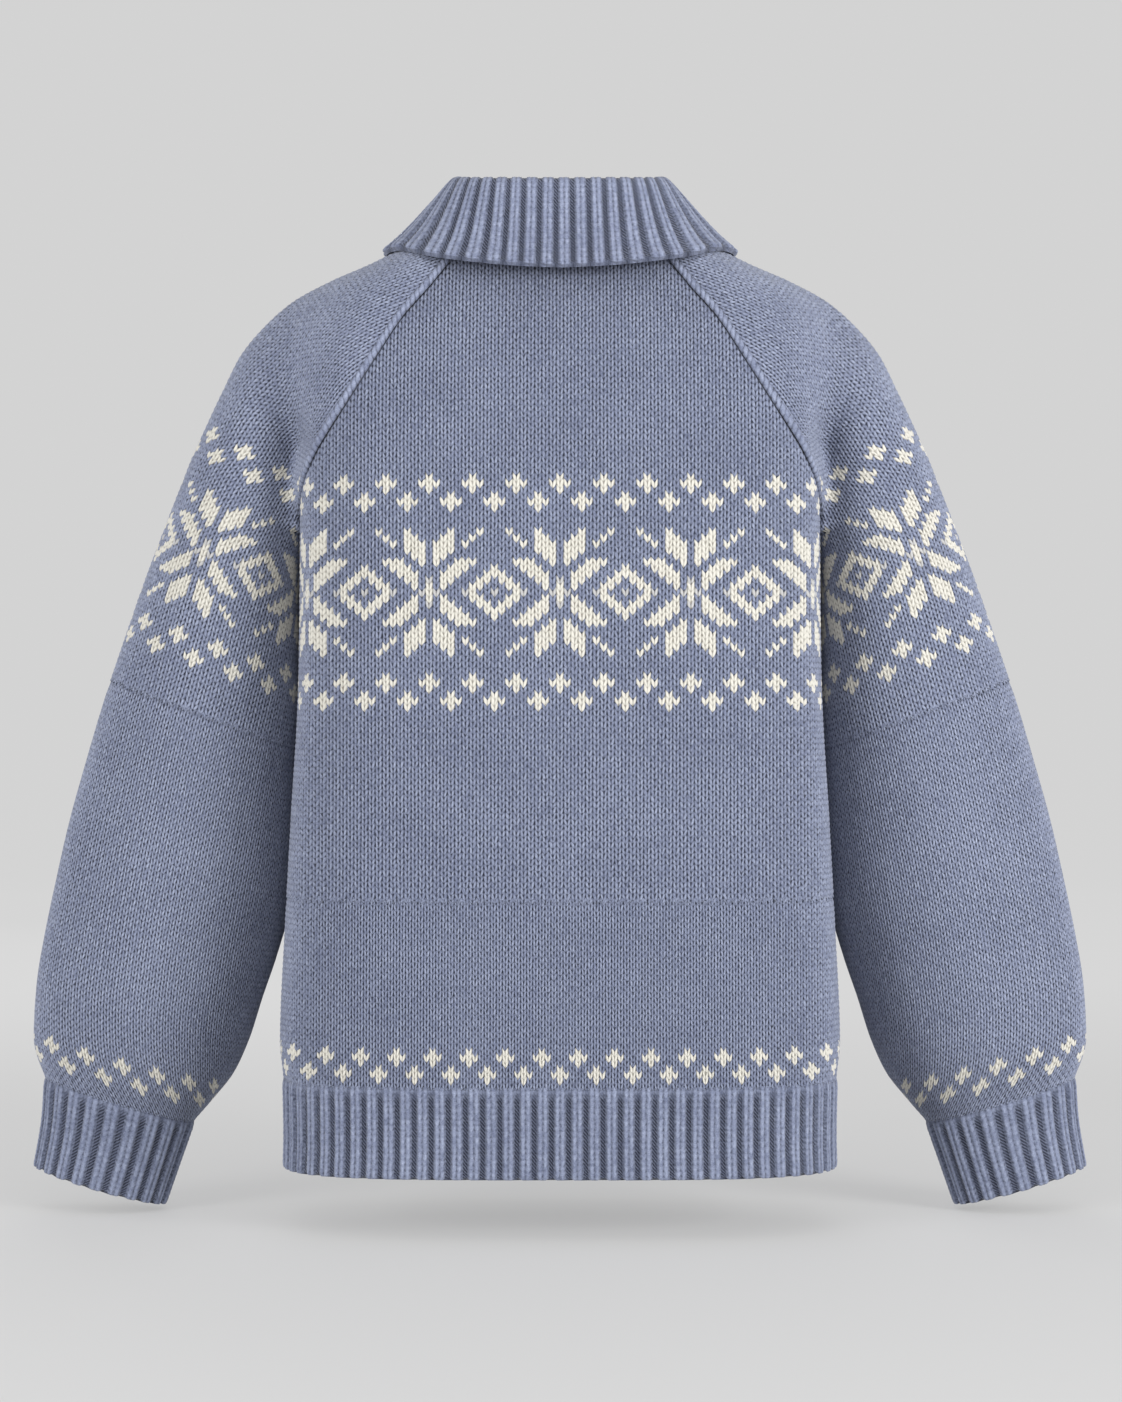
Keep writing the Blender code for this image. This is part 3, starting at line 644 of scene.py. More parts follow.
@dataclass
class Knitting:
    """Turns a cloth into a knitted shell: stitches outside, a plain wall inside, closed rims.

    Joined ends keep their relief, so that the next piece carries the stitches on. A toothed
    end keeps its Vs whole, and they lie over the next piece, which climbs from under them.
    """

    cloth: Cloth
    chart: Chart = PLAIN
    structure: Structure = Structure.STOCKING
    relief: Relief = Relief()
    lines_per_course: int = 2
    thickness: float = 3.0
    inner_columns: int = 30
    inner_step: int = 6
    sink_low: float = 0.0
    sink_high: float = 0.0
    joined_first: bool = False
    joined_last: bool = False
    toothed: bool = False
    climb: float = 0.4
    fold_course: float | None = None
    seed: int = 3

    def grid(self) -> Grid:
        """Lines at even courses and columns at quarters of a wale, over the whole cloth.

        Returns:
            The grid of stitches.
        """
        cloth = self.cloth
        step = 1.0 / self.lines_per_course
        first = cloth.courses[0]
        last = cloth.courses[-1] - self.relief.dip * self.toothed
        inner = np.arange(
            math.ceil(first / step + LINE_MARGIN), math.floor(last / step - LINE_MARGIN) + 1
        )
        lines = np.concatenate([[first], inner * step, [last]])
        leftmost = math.floor(cloth.low.min() * QUARTERS)
        quarters = np.arange(leftmost, math.ceil(cloth.high.max() * QUARTERS) + 1) / QUARTERS
        low = np.interp(lines, cloth.courses, cloth.low)
        high = np.interp(lines, cloth.courses, cloth.high)
        most = len(quarters) - 1
        start = np.clip(np.searchsorted(quarters, low, "right") - 1, 0, most)
        stop = np.clip(np.searchsorted(quarters, high, "left"), 0, most)
        stop = np.maximum(stop, start + 1).clip(max=most)
        wales = np.clip(quarters[None, :], low[:, None], high[:, None])
        to_side = np.minimum(wales - low[:, None], high[:, None] - wales)
        to_first, to_last = (lines - first)[:, None], (last - lines)[:, None]
        return Grid(lines, quarters, low, high, start, stop, wales, to_side, to_first, to_last)

    def off_rib(self, wales: Array) -> Array:
        """Distance from the middle of the nearest two knitted wales, as a share of a rib."""
        return np.abs((wales / RIB_WALES) % 1 - 0.5)

    def heights(self, grid: Grid) -> Array:
        """Height of the yarn over the fabric at each point of the grid, in mm.

        In a knitted wale it goes furrow, leg, fork, leg, furrow across the stitch, and each
        leg swells by the hump half way along. In rib the two knitted wales of four are two
        round strands side by side, and the purled ones a valley with a low bump a course.

        Args:
            grid: The grid of stitches.

        Returns:
            Heights, a row for each line.
        """
        relief = self.relief
        lift = wave(grid.lines)[:, None]
        if self.structure is Structure.STOCKING:
            quarter = np.round(grid.quarters * QUARTERS).astype(int) % QUARTERS
            across = np.choose(quarter, [relief.furrow, relief.leg, relief.fork, relief.leg])
            return across + lift * relief.hump * (quarter % 2 == 1) - relief.hump / 2
        step = np.round(self.off_rib(grid.quarters) * RIB_WALES * QUARTERS).astype(int)
        purled = step >= len(relief.strand)
        strand = np.where(purled, relief.valley, np.take(relief.strand, step, mode="clip"))
        return strand + (lift - 0.5) * 2 * np.where(purled, relief.purl, relief.hump / 4)

    def spread(self, wales: Array) -> Array:
        """Wale numbers as they lie: in rib the purled wales are drawn in between the knitted."""
        if self.structure is Structure.STOCKING:
            return wales
        rib = np.floor(wales / RIB_WALES)
        return RIB_WALES * (rib + np.interp(wales / RIB_WALES - rib, RIB_PHASES, RIB_WIDTHS))

    def softness(self, grid: Grid) -> Array:
        """Share of the relief that is left near the sides and ends of the cloth."""
        soft = np.clip(grid.to_side / SIDE_REACH[self.structure], 0, 1)
        for joined, off in ((self.joined_first, grid.to_first), (self.joined_last, grid.to_last)):
            ease = EASES[self.structure, joined]
            share = np.clip(off / ease.reach, 0, 1)
            soft = soft * (ease.least + (1 - ease.least) * share * (2 - share))
        return soft

    def outer_wall(self, grid: Grid) -> Array:
        """Points of the stitches.

        A column's fork lies lower than its furrows, by the dip, which fades out within a stitch
        of an edge. Small seeded steps keep the stitches from being all alike.

        Args:
            grid: The grid of stitches.

        Returns:
            Points, a row for each line.
        """
        relief = self.relief
        room = np.full_like(grid.to_last, np.inf) if self.toothed else grid.to_last
        to_end = np.minimum(grid.to_first, room)
        fade = np.clip(grid.to_side, 0, 1) * np.clip(to_end * relief.dip_rate, 0, 1)
        dip = relief.dip * wave(grid.quarters)
        drift = np.random.default_rng(self.seed).normal(size=(3, *grid.wales.shape))
        drift = drift * relief.unrest
        courses = grid.lines[:, None] + drift[0] * fade
        if self.structure is Structure.RIB:
            off = self.off_rib(grid.quarters)
            dip = np.where(off < relief.rib_dip_end, dip * relief.rib_dip, 0.0)
            hollow = np.clip((off - relief.rib_hollow) / relief.rib_hollow_reach, 0, 1)
            near_last = np.clip(1 - grid.to_last / relief.scallop_reach, 0, 1)
            courses = courses - relief.scallop * hollow * near_last
        courses = courses + np.minimum(dip * fade, room * relief.dip_room)
        courses = np.clip(courses, grid.lines[0], self.cloth.courses[-1])
        points, normals = self.cloth.at(self.spread(grid.wales) + drift[1] * fade, courses)
        height = self.heights(grid) + drift[2]
        if self.fold_course is not None:
            off = (grid.lines - self.fold_course)[:, None] / relief.fold_reach
            pulled = np.exp(-(off**2))
            height = height * (1 - relief.fold_loss * pulled) + relief.fold_lift * pulled
        soft = self.softness(grid)
        free = not (self.joined_first or self.joined_last)
        height = height * soft - relief.edge_sink * free * (1 - soft)
        if self.joined_first:
            height = height - relief.edge_sink * np.clip(1 - grid.to_first / self.climb, 0, 1)
        from_low, from_high = grid.wales - grid.low[:, None], grid.high[:, None] - grid.wales
        for sink, off in ((self.sink_low, from_low), (self.sink_high, from_high)):
            height = height - sink * np.clip(1 - off / relief.sink_reach, 0, 1)
        return points + normals * height[..., None]

    def build(self, name: str) -> "Fabric":
        """Lays out the shell. Where a row ends between two columns, its rest is one point.

        Args:
            name: The piece's name.

        Returns:
            The finished fabric.
        """
        grid = self.grid()
        rows, columns = grid.wales.shape
        outer = self.outer_wall(grid)
        lines = grid.lines[:, None]
        first, length = grid.lines[0], grid.lines[-1] - grid.lines[0]
        spots = np.clip(np.arange(columns), grid.start[:, None], grid.stop[:, None])
        ids = np.arange(rows)[:, None] * columns + spots

        picked = np.unique(np.append(np.arange(0, rows, self.inner_step), rows - 1))
        shares = np.linspace(0, 1, self.inner_columns)
        inner_wales = grid.low[picked, None] + (grid.high - grid.low)[picked, None] * shares
        inner_lines = np.repeat(lines[picked], self.inner_columns, axis=1)
        inner, normals = self.cloth.at(inner_wales, inner_lines)
        inner = inner - normals * self.thickness
        inner_ids = rows * columns + np.arange(inner_wales.size).reshape(inner_wales.shape)

        down = OUTER_FROM + OUTER_SPAN * (lines - first) / length
        inner_down = INNER_SPAN * (inner_lines - first) / length
        layout = np.concatenate([pairs(spots / (columns - 1), down), pairs(shares, inner_down)])
        fabric = Fabric(
            name,
            np.concatenate([outer.reshape(-1, 3), inner.reshape(-1, 3)]),
            np.concatenate([pairs(grid.wales, lines), pairs(inner_wales, inner_lines)]),
        )

        faces = grid_faces(ids)
        wale = np.floor((grid.quarters[:-1] + grid.quarters[1:]) / 2).astype(int)
        course = np.floor((grid.lines[:-1] + grid.lines[1:]) / 2).astype(int)
        wale, course = np.meshgrid(wale, course)
        cream = np.repeat(self.chart.cream(wale, course).reshape(-1), 2)
        kept = proper(faces)
        faces = faces[kept]
        fabric.patches.append(Patch(faces, layout[faces], cream[kept]))
        faces = grid_faces(inner_ids)[:, ::-1]
        fabric.patches.append(Patch(faces, layout[faces], inside=1.0))
        for end, over in ((0, True), (-1, False)):
            run = np.arange(grid.start[end], grid.stop[end] + 1)
            place = (grid.wales[end, run] - grid.low[end]) / (grid.high[end] - grid.low[end])
            faces = strip(ids[end, run], place, inner_ids[end], shares)
            fabric.patches.append(Patch.rim(faces, over, END_RIM))
        along = np.arange(rows) / (rows - 1)
        for ends, inner_end, over in ((grid.start, 0, False), (grid.stop, -1, True)):
            side = np.arange(rows) * columns + ends
            faces = strip(side, along, inner_ids[:, inner_end], along[picked])
            fabric.patches.append(Patch.rim(faces, over, SIDE_RIM))
        return fabric


@dataclass
class Patch:
    """Some of a fabric's triangles, their place on its flat layout, and the finish's marks."""

    faces: Array
    layout: Array
    cream: Array | float = 0.0
    inside: float = 0.0
    flat: bool = False

    @classmethod
    def rim(cls, faces: Array, over: bool, place: float) -> "Patch":
        """A rim's triangles, shaded flat, darkened by painted shade, and laid out along a thin
        strip.

        Args:
            faces: Triangles as rows of three point numbers.
            over: True where they have to be turned over.
            place: Height of the strip on the flat layout.

        Returns:
            The patch.
        """
        along = (np.arange(len(faces))[:, None] + RIM_CORNERS) / len(faces)
        up = np.broadcast_to((place, place, place + RIM_WIDTH), along.shape)
        faces = faces[:, ::-1] if over else faces
        return cls(faces, np.stack([along, up], axis=2), inside=1.0 + RIM_PAINTED_SHADE, flat=True)

    def mark(self, name: str) -> Array:
        """A mark's value on each triangle."""
        return np.full(len(self.faces), getattr(self, name), float)


@dataclass
class Fabric:
    """Points, stitch numbers and patches, gathered before the mesh is made."""

    name: str
    points: Array
    stitches: Array
    patches: list[Patch] = field(default_factory=list)

    def make(self, finish: "WoolFinish", hand: Hand = Hand.LEFT) -> bpy.types.Object:
        """Makes the mesh object, with its stitch map, flat layout and marks.

        Args:
            finish: The wool that it is knitted in.
            hand: RIGHT mirrors the fabric across the middle of the body.

        Returns:
            The new object, linked to the scene.
        """
        points = self.points * MM * (hand.value, 1, 1)
        faces = np.concatenate([patch.faces for patch in self.patches])
        layout = np.concatenate([patch.layout for patch in self.patches])
        if not outwards(points, faces):
            faces, layout = faces[:, ::-1], layout[:, ::-1]
        used, faces = np.unique(faces, return_inverse=True)
        faces = faces.reshape(-1, 3)
        made = make_mesh(self.name, points[used], faces, finish)
        mesh = made.data
        stitches = self.stitches[used][faces]
        mesh.uv_layers.new(name="Stitches").data.foreach_set("uv", stitches.ravel())
        mesh.uv_layers.new(name="OFBake").data.foreach_set("uv", layout.ravel())
        mesh.uv_layers["Stitches"].active_render = True
        for name in ("cream", "inside"):
            values = np.concatenate([patch.mark(name) for patch in self.patches])
            mesh.attributes.new(name, "FLOAT", "FACE").data.foreach_set("value", values)
        flat = np.concatenate([patch.mark("flat") for patch in self.patches])
        mesh.polygons.foreach_set("use_smooth", flat == 0)
        mesh.update()
        log.info("%s: %d triangles", self.name, len(faces))
        return made


# Finishes


def operator(operation: str, flipped: bool = False) -> Callable[..., "Socket"]:
    """Method of Socket that adds a Math node.

    Args:
        operation: What the node works out.
        flipped: True where the other value comes first.

    Returns:
        The method.
    """

    def method(self: "Socket", *others: "Socket | float") -> "Socket":
        """Adds the node to this value and the others."""
        values = (*others, self) if flipped else (self, *others)
        return self.shader.add("ShaderNodeMath", {"operation": operation}, dict(enumerate(values)))

    return method


class Socket:
    """A value in a node tree, on which arithmetic adds Math nodes."""

    def __init__(self, shader: "Shader", source: bpy.types.NodeSocket) -> None:
        """Wraps a node's output."""
        self.shader = shader
        self.source = source

    __add__ = operator("ADD")
    __radd__ = operator("ADD", True)
    __sub__ = operator("SUBTRACT")
    __rsub__ = operator("SUBTRACT", True)
    __mul__ = operator("MULTIPLY")
    __rmul__ = operator("MULTIPLY", True)
    __pow__ = operator("POWER")
    fraction = operator("FRACT")
    size = operator("ABSOLUTE")
    least = operator("MINIMUM")
    most = operator("MAXIMUM")

    def limited(self) -> "Socket":
        """The value kept from 0 to 1."""
        return self.most(0.0).least(1.0)

    def from_half(self) -> "Socket":
        """How far its fraction lies from a half: 0 there, and 1 at whole numbers."""
        return ((self.fraction() - 0.5) * 2).size()


class Shader:
    """A material's node tree, to which nodes are added one by one."""

    def __init__(self, name: str) -> None:
        """Starts a material with nothing but its output."""
        self.material = bpy.data.materials.new(name)
        self.material.use_nodes = True
        self.tree = self.material.node_tree
        self.tree.nodes.clear()

    def add(
        self,
        kind: str,
        settings: dict[str, object] | None = None,
        inputs: dict[str | int, object] | None = None,
        output: str | int = 0,
    ) -> Socket:
        """Adds a node.

        Args:
            kind: The node's type.
            settings: Its properties, set first.
            inputs: Values or sockets for its inputs, by name or number.
            output: The output to hand back.

        Returns:
            That output.
        """
        node = self.tree.nodes.new(kind)
        for name, value in (settings or {}).items():
            setattr(node, name, value)
        for name, value in (inputs or {}).items():
            target = node.inputs[name]
            if isinstance(value, Socket):
                self.tree.links.new(value.source, target)
            else:
                target.default_value = value
        return Socket(self, node.outputs[output]) if len(node.outputs) else None

    def mix(self, share: "Socket | float", first: object, second: object) -> Socket:
        """A colour between two, by share."""
        inputs = {0: share, 6: first, 7: second}
        return self.add("ShaderNodeMix", {"data_type": "RGBA"}, inputs, 2)

    def noise(self, place: Socket, scale: float, detail: float = 2.0) -> Socket:
        """Noise from 0 to 1 at a place."""
        inputs = {"Vector": place, "Scale": scale, "Detail": detail}
        return self.add("ShaderNodeTexNoise", {}, inputs)

    def split(self, place: Socket) -> tuple[Socket, Socket]:
        """The first two parts of a place."""
        x, y = (self.add("ShaderNodeSeparateXYZ", {}, {0: place}, axis) for axis in (0, 1))
        return x, y

    def finish(self, **inputs: object) -> bpy.types.Material:
        """Adds the Principled shader with these inputs and the output.

        Args:
            inputs: Values or sockets by input name, with _ for a space.

        Returns:
            The material.
        """
        named = {name.replace("_", " "): value for name, value in inputs.items()}
        surface = self.add("ShaderNodeBsdfPrincipled", {}, named)
        self.add("ShaderNodeOutputMaterial", {}, {"Surface": surface})
        return self.material


def linear(colour: Triple) -> tuple[float, float, float, float]:
    """An sRGB colour of 0 to 255 as a linear one for a shader.

    Each share s becomes ((s + 0.055) / 1.055) to the power 2.4.
    """
    shares = [((part / 255 + 0.055) / 1.055) ** 2.4 for part in colour]
    return (*shares, 1.0)


class Finish:
    """A material, made once for each name."""

    name: str

    def material(self) -> bpy.types.Material:
        """The material, found by its name or painted."""
        return bpy.data.materials.get(self.name) or self.paint(Shader(self.name))

    def paint(self, shader: Shader) -> bpy.types.Material:
        """Adds the finish's nodes to a new material."""
        raise NotImplementedError


@dataclass(frozen=True)
class WoolFinish(Finish):
    """Knitted wool: heathered yarn in V-shaped legs, with painted shade between them, and soft at
    its edge.

    Scales are of noises, in waves to a metre. A waver bends the legs, by shares of a leg.
    Fibre, heather, patch and chance are the parts of the tone, over its base, and body is the
    part of the yarn's roundness in its height. The hollow colours, valley and shade depths
    are painted shade in the stitches' hollows and the rib's valleys.
    """

    name: str = "Blue-grey wool"
    light: Triple = (160, 168, 191)
    dark: Triple = (92, 99, 124)
    # Painted shade: the colour that the hollows between legs and the rib's valleys are darkened
    # towards
    hollow: Triple = (20, 24, 40)
    cream: Triple = (216, 213, 204)
    # Painted shade: the colour that the hollows of cream stitches are darkened towards
    cream_hollow: Triple = (128, 123, 112)
    strands: bool = False
    furrow: float = 0.55
    corner: float = 1.4
    gap: float = 0.38
    # Painted shade in the rib's valleys, added to the hollow
    valley: float = 0.4
    purl_end: float = 0.55
    purl_side: float = 0.3
    waver_scale: float = 260.0
    waver_across: float = 0.3
    waver_along: float = 0.6
    waver_valley: float = 0.12
    fibre_scale: float = 1400.0
    heather_scale: float = 420.0
    patch_scale: float = 22.0
    fibre: float = 0.9
    heather: float = 0.9
    patch: float = 0.3
    chance: float = 0.3
    base: float = 0.7
    valley_edge: float = 5.0
    speck: float = 0.7
    speck_fibre: float = 0.3
    speck_base: float = 0.1
    # The painted shade's strength, which varies at random from stitch to stitch
    least_hollow: float = 0.75
    chance_hollow: float = 0.5
    body: float = 0.7
    body_fibre: float = 0.5
    body_heather: float = 0.2
    # How far the painted shade darkens the blue and the cream
    blue_depth: float = 0.92
    cream_depth: float = 0.75
    roughness: float = 0.92
    sheen: float = 0.2
    sheen_roughness: float = 0.5
    specular: float = 0.2
    bump: float = 0.9
    bump_height: float = 0.0008

    def paint(self, shader: Shader) -> bpy.types.Material:
        """Adds the yarn's nodes.

        Across a leg, q goes from 0 at its crest to 1 at its edges, and p from 0 at its middle
        to 1 at its ends. The hollow is furrow times q squared, plus corner times q and p
        squared, plus gap times p to the 4th. It lowers the bump, and it is painted shade: it
        darkens the colour towards the hollow colours. In strands a leg is a whole wale wide, and
        the valley between the strands is painted darker too, with loose specks. Inside, the
        stitches are purled, and a rim's inside mark past 1 paints more shade on it.

        Args:
            shader: The new material's nodes.

        Returns:
            The material.
        """
        place = shader.add("ShaderNodeTexCoord", {}, {}, "Object")
        stitch = shader.add("ShaderNodeUVMap", {"uv_map": "Stitches"})
        wale, course = shader.split(stitch)
        cream, inside = (
            shader.add("ShaderNodeAttribute", {"attribute_name": mark}, {}, "Fac")
            for mark in ("cream", "inside")
        )
        waver = shader.noise(place, self.waver_scale, 1.0) - 0.5
        legs = 1 if self.strands else 2
        across = (wale * legs + waver * self.waver_across).from_half()
        along = (course + waver * self.waver_along).from_half()
        side = wale.from_half()
        edge = across**2
        end = along**2
        knit = edge * self.furrow + edge * end * self.corner + end * end * self.gap
        purl = end * self.purl_end + side**4 * self.purl_side
        fibre = shader.noise(place, self.fibre_scale, 3.0)
        valley = inside * 0
        if self.strands:
            valley = (wale * (1 / RIB_WALES)).from_half() - 0.5 + waver * self.waver_valley
            valley = (valley * self.valley_edge).limited() * (course * 0.5).limited()
            speck = ((wale + course * 1.5).fraction() - 0.5).size() * 2
            loose = speck * self.speck + fibre * self.speck_fibre - self.speck_base
            knit = knit + (loose - knit) * valley
        hollow = knit + (purl - knit) * inside.least(1.0)
        # A rim's inside mark past 1 is painted shade, added to the hollow
        hollow = (hollow + (inside - 1.0).most(0.0)).least(1.0)
        heather = shader.noise(place, self.heather_scale)
        patch = shader.noise(place, self.patch_scale)
        leg = wale * legs + waver * self.waver_across
        cell = {0: leg - leg.fraction(), 1: course - course.fraction()}
        cell = shader.add("ShaderNodeCombineXYZ", {}, cell)
        chance = shader.add("ShaderNodeTexWhiteNoise", {}, {"Vector": cell})
        # Painted shade, stronger or weaker at random from stitch to stitch
        hollow = hollow * (chance * self.chance_hollow + self.least_hollow)
        tone = heather * self.heather + fibre * self.fibre + patch * self.patch
        tone = (tone + chance * self.chance - self.base).limited()
        blue = shader.mix(tone, linear(self.dark), linear(self.light))
        # Painted shade: the hollow and the rib's valleys darken the blue and the cream
        deep = (hollow + valley * self.valley).least(1.0) * self.blue_depth
        blue = shader.mix(deep, blue, linear(self.hollow))
        pale = hollow * self.cream_depth
        white = shader.mix(pale, linear(self.cream), linear(self.cream_hollow))
        colour = shader.mix(cream, blue, white)
        body = (1 - hollow) * self.body + fibre * self.body_fibre + heather * self.body_heather
        bump = {"Strength": self.bump, "Distance": self.bump_height, "Height": body}
        return shader.finish(
            Base_Color=colour,
            Roughness=self.roughness,
            Normal=shader.add("ShaderNodeBump", {}, bump),
            Sheen_Weight=self.sheen,
            Sheen_Roughness=self.sheen_roughness,
            Specular_IOR_Level=self.specular,
        )


@dataclass(frozen=True)
class HornFinish(Finish):
    """Dark horn: cloudy streaks and a soft polish."""

    name: str = "Dark horn"
    light: Triple = (112, 116, 132)
    dark: Triple = (52, 55, 68)
    cloud_scale: float = 160.0
    roughness: float = 0.32
    coat: float = 0.2

    def paint(self, shader: Shader) -> bpy.types.Material:
        """Adds the horn's nodes."""
        place = shader.add("ShaderNodeTexCoord", {}, {}, "Object")
        cloud = shader.noise(place, self.cloud_scale, 4.0)
        colour = shader.mix(cloud, linear(self.dark), linear(self.light))
        return shader.finish(Base_Color=colour, Roughness=self.roughness, Coat_Weight=self.coat)


@dataclass(frozen=True)
class PaperFinish(Finish):
    """Pale matt backdrop that partly glows: the glow is painted light, which softens shadows and
    evens the wall.

    Past a distance of near, in metres from the middle, it turns to the far values over fade: a
    darker colour with more painted glow.
    """

    name: str = "Pale backdrop"
    colour: Triple = (148, 148, 148)
    far_colour: Triple = (30, 30, 30)
    # Painted light: the share of its brightness that the backdrop gives off itself, near and far
    glow: float = 0.36
    far_glow: float = 0.64
    near: float = 1.1
    fade: float = 1.2
    grain_scale: float = 40.0
    grain: float = 0.06
    darker: float = 0.96
    roughness: float = 0.95
    specular: float = 0.1

    def paint(self, shader: Shader) -> bpy.types.Material:
        """Adds the paper's nodes, with a very faint grain.

        Args:
            shader: The new material's nodes.

        Returns:
            The material.
        """
        place = shader.add("ShaderNodeTexCoord", {}, {}, "Object")
        grain = shader.noise(place, self.grain_scale, 3.0) * self.grain
        darker = tuple(part * self.darker for part in self.colour)
        colour = shader.mix(grain, linear(self.colour), linear(darker))
        x, y = shader.split(place)
        far = (((x * x + y * y) ** 0.5 - self.near) * (1 / self.fade)).limited()
        # Painted light: the backdrop's glow, which shadows don't darken
        glow = shader.mix(far, (self.glow,) * 3 + (1.0,), (self.far_glow,) * 3 + (1.0,))
        made = shader.finish(
            Base_Color=shader.mix(far, colour, linear(self.far_colour)),
            Roughness=self.roughness,
            Specular_IOR_Level=self.specular,
            Emission_Color=glow,
            Emission_Strength=1.0,
        )
        made.cycles.emission_sampling = "NONE"
        return made


# Forms that the fabric lies on


@dataclass(frozen=True)
class BodyForm:
    """The body's outline at each height, from the table."""

    back_round: float = 3.6
    front_round: float = 2.8
    samples: int = 361

    def size(self, height: Array, name: str) -> Array:
        """Half width, back depth or front depth at each height."""
        heights = column(BODY, "height")
        place = np.interp(-np.asarray(height, float), -heights, np.arange(len(heights)))
        return smooth(column(BODY, name), place)

    def power(self, side: Side) -> float:
        """How square the outline is on a side."""
        return self.back_round if side is Side.BACK else self.front_round

    def depth(self, x: Array, height: Array, side: Side) -> Array:
        """How far forward or back the wall stands.

        Depth is reach times (1 - (distance / half width) to the power) to one over the power.

        Args:
            x: Distance from the middle.
            height: Height of each point.
            side: Back or front.

        Returns:
            Y of each point.
        """
        power = self.power(side)
        share = np.clip(np.abs(x) / self.size(height, "half_width"), 0, 1)
        return side.value * self.size(height, side.word) * (1 - share**power) ** (1 / power)

    def quarter(self, height: float, side: Side) -> tuple[Array, Array, Array]:
        """Points along a quarter of the outline.

        At a turn t from 0 to a quarter, x is half width times sine to the power 2 / p, and
        depth is reach times cosine to the power 2 / p.

        Args:
            height: The height.
            side: Back or front.

        Returns:
            x, y and the length to each point.
        """
        power = self.power(side)
        turn = np.linspace(0, math.pi / 2, self.samples)
        x = self.size(height, "half_width") * np.sin(turn) ** (2 / power)
        y = side.value * self.size(height, side.word) * np.cos(turn).clip(0) ** (2 / power)
        run = np.concatenate([[0], np.cumsum(np.hypot(np.diff(x), np.diff(y)))])
        return x, y, run

    def raglan(self, side: Side, station: Array | float) -> tuple[Array, Array]:
        """x and z of the raglan seam at stations down to the armpit."""
        x, z = (smooth(column(SLEEVE, f"{side.word}_{axis}"), station) for axis in "xz")
        return x, z


FORM = BodyForm()
RIB_TOP = -598.0
HEM = -662.0
ARMPIT = -200.0
NECK = 6.0
FRONT_TOP = 1.6
FRONT_NECK = -52.0
SCOOP = 1.6
BAND_HALF_WIDTH = 16.0
LEAST_FRONT = 0.4
RAGLAN_SAMPLES = 200

# The row of increases below the star band, and how far the parts lie over each other there
INCREASE = -463.7
INCREASE_RATE = 6 / 5
UNDERLAP = 1.6
TOOTH = 3.3
CLIMB = 2.6

STAR_MIDDLE = -243.8
BAND_COURSE = 4.28
BAND_REACH = 20.0
COURSE = 4.07
WALE = 5.155


def body_course(height: Array) -> Array:
    """Course number at a height: even steps, a little taller within the star band."""
    drop = STAR_MIDDLE - np.asarray(height, float)
    near = np.clip(drop, -BAND_REACH * BAND_COURSE, BAND_REACH * BAND_COURSE)
    return near / BAND_COURSE + (drop - near) / COURSE + 0.5


def raglan_reach(height: float, side: Side) -> float | None:
    """Distance of the raglan seam from the middle at a height.

    Args:
        height: The height.
        side: Back or front.

    Returns:
        The distance, or None below the armpit.
    """
    if height <= ARMPIT:
        return None
    x, z = FORM.raglan(side, np.linspace(0, ARMPIT_ROW, RAGLAN_SAMPLES))
    return float(np.interp(-height, -z, x))


def outline_row(place: Array, along: Array, x: Array, y: Array, height: float) -> Array:
    """Points at places along an outline, which lie on its other half below 0.

    Args:
        place: The places.
        along: The place of each of the outline's points.
        x: Its distances from the middle.
        y: Its depths.
        height: Its height.

    Returns:
        The points.
    """
    across = np.interp(np.abs(place), along, x) * np.sign(place)
    deep = np.interp(np.abs(place), along, y)
    return np.stack([across, deep, np.full(len(place), height)], axis=1)


@dataclass(frozen=True)
class BackGauge:
    """Width of the wales round the back: even as seen from behind, up to a limit of stretch.

    Where the wall turns further, the stretch eases back to none, at a share easing of the
    facing at which it is most.
    """

    wale: float = WALE
    most: float = 1.55
    easing: float = 0.45

    def wales(self, x: Array, run: Array) -> Array:
        """Wale numbers along an outline, from the middle.

        Args:
            x: Distance from the middle of points along the outline.
            run: Length to each.

        Returns:
            Wale number at each.
        """
        facing = np.clip(np.gradient(x, run), 1e-3, 1)
        limit = 1 / self.most
        back = np.clip((facing - limit * self.easing) / (limit * (1 - self.easing)), 0, 1)
        eased = 1 + (self.most - 1) * back
        stretch = np.where(facing > limit, 1 / np.maximum(facing, limit), eased)
        rate = 1 / (self.wale * stretch)
        steps = np.diff(run) * (rate[:-1] + rate[1:]) / 2
        return np.concatenate([[0], np.cumsum(steps)])


def back_cloth(heights: Array, rate: float, columns: int = 281) -> Cloth:
    """The back between two heights, with column 0 in the middle.

    Args:
        heights: Heights of the rows, from the top down.
        rate: How many more wales there are than at the chest.
        columns: Points across.

    Returns:
        The cloth.
    """
    gauge = BackGauge()
    rows, reach = [], []
    for height in heights:
        x, y, run = FORM.quarter(height, Side.BACK)
        wales = gauge.wales(x, run)
        end = raglan_reach(height, Side.BACK)
        last = wales[-1] if end is None else np.interp(end, x, wales)
        rows.append(outline_row(np.linspace(-last, last, columns), wales, x, y, height))
        reach.append(last * rate)
    reach = np.array(reach)
    return Cloth(np.array(rows), body_course(heights), 0.5 - reach, 0.5 + reach)


def neckline_start(height: float) -> float:
    """Distance from the middle at which a front begins at a height."""
    if height <= FRONT_NECK:
        return BAND_HALF_WIDTH
    x, z = FORM.raglan(Side.FRONT, 0.0)
    share = 1 - ((height - FRONT_NECK) / (z - FRONT_NECK)) ** (1 / SCOOP)
    return float(x + (BAND_HALF_WIDTH - x) * share)


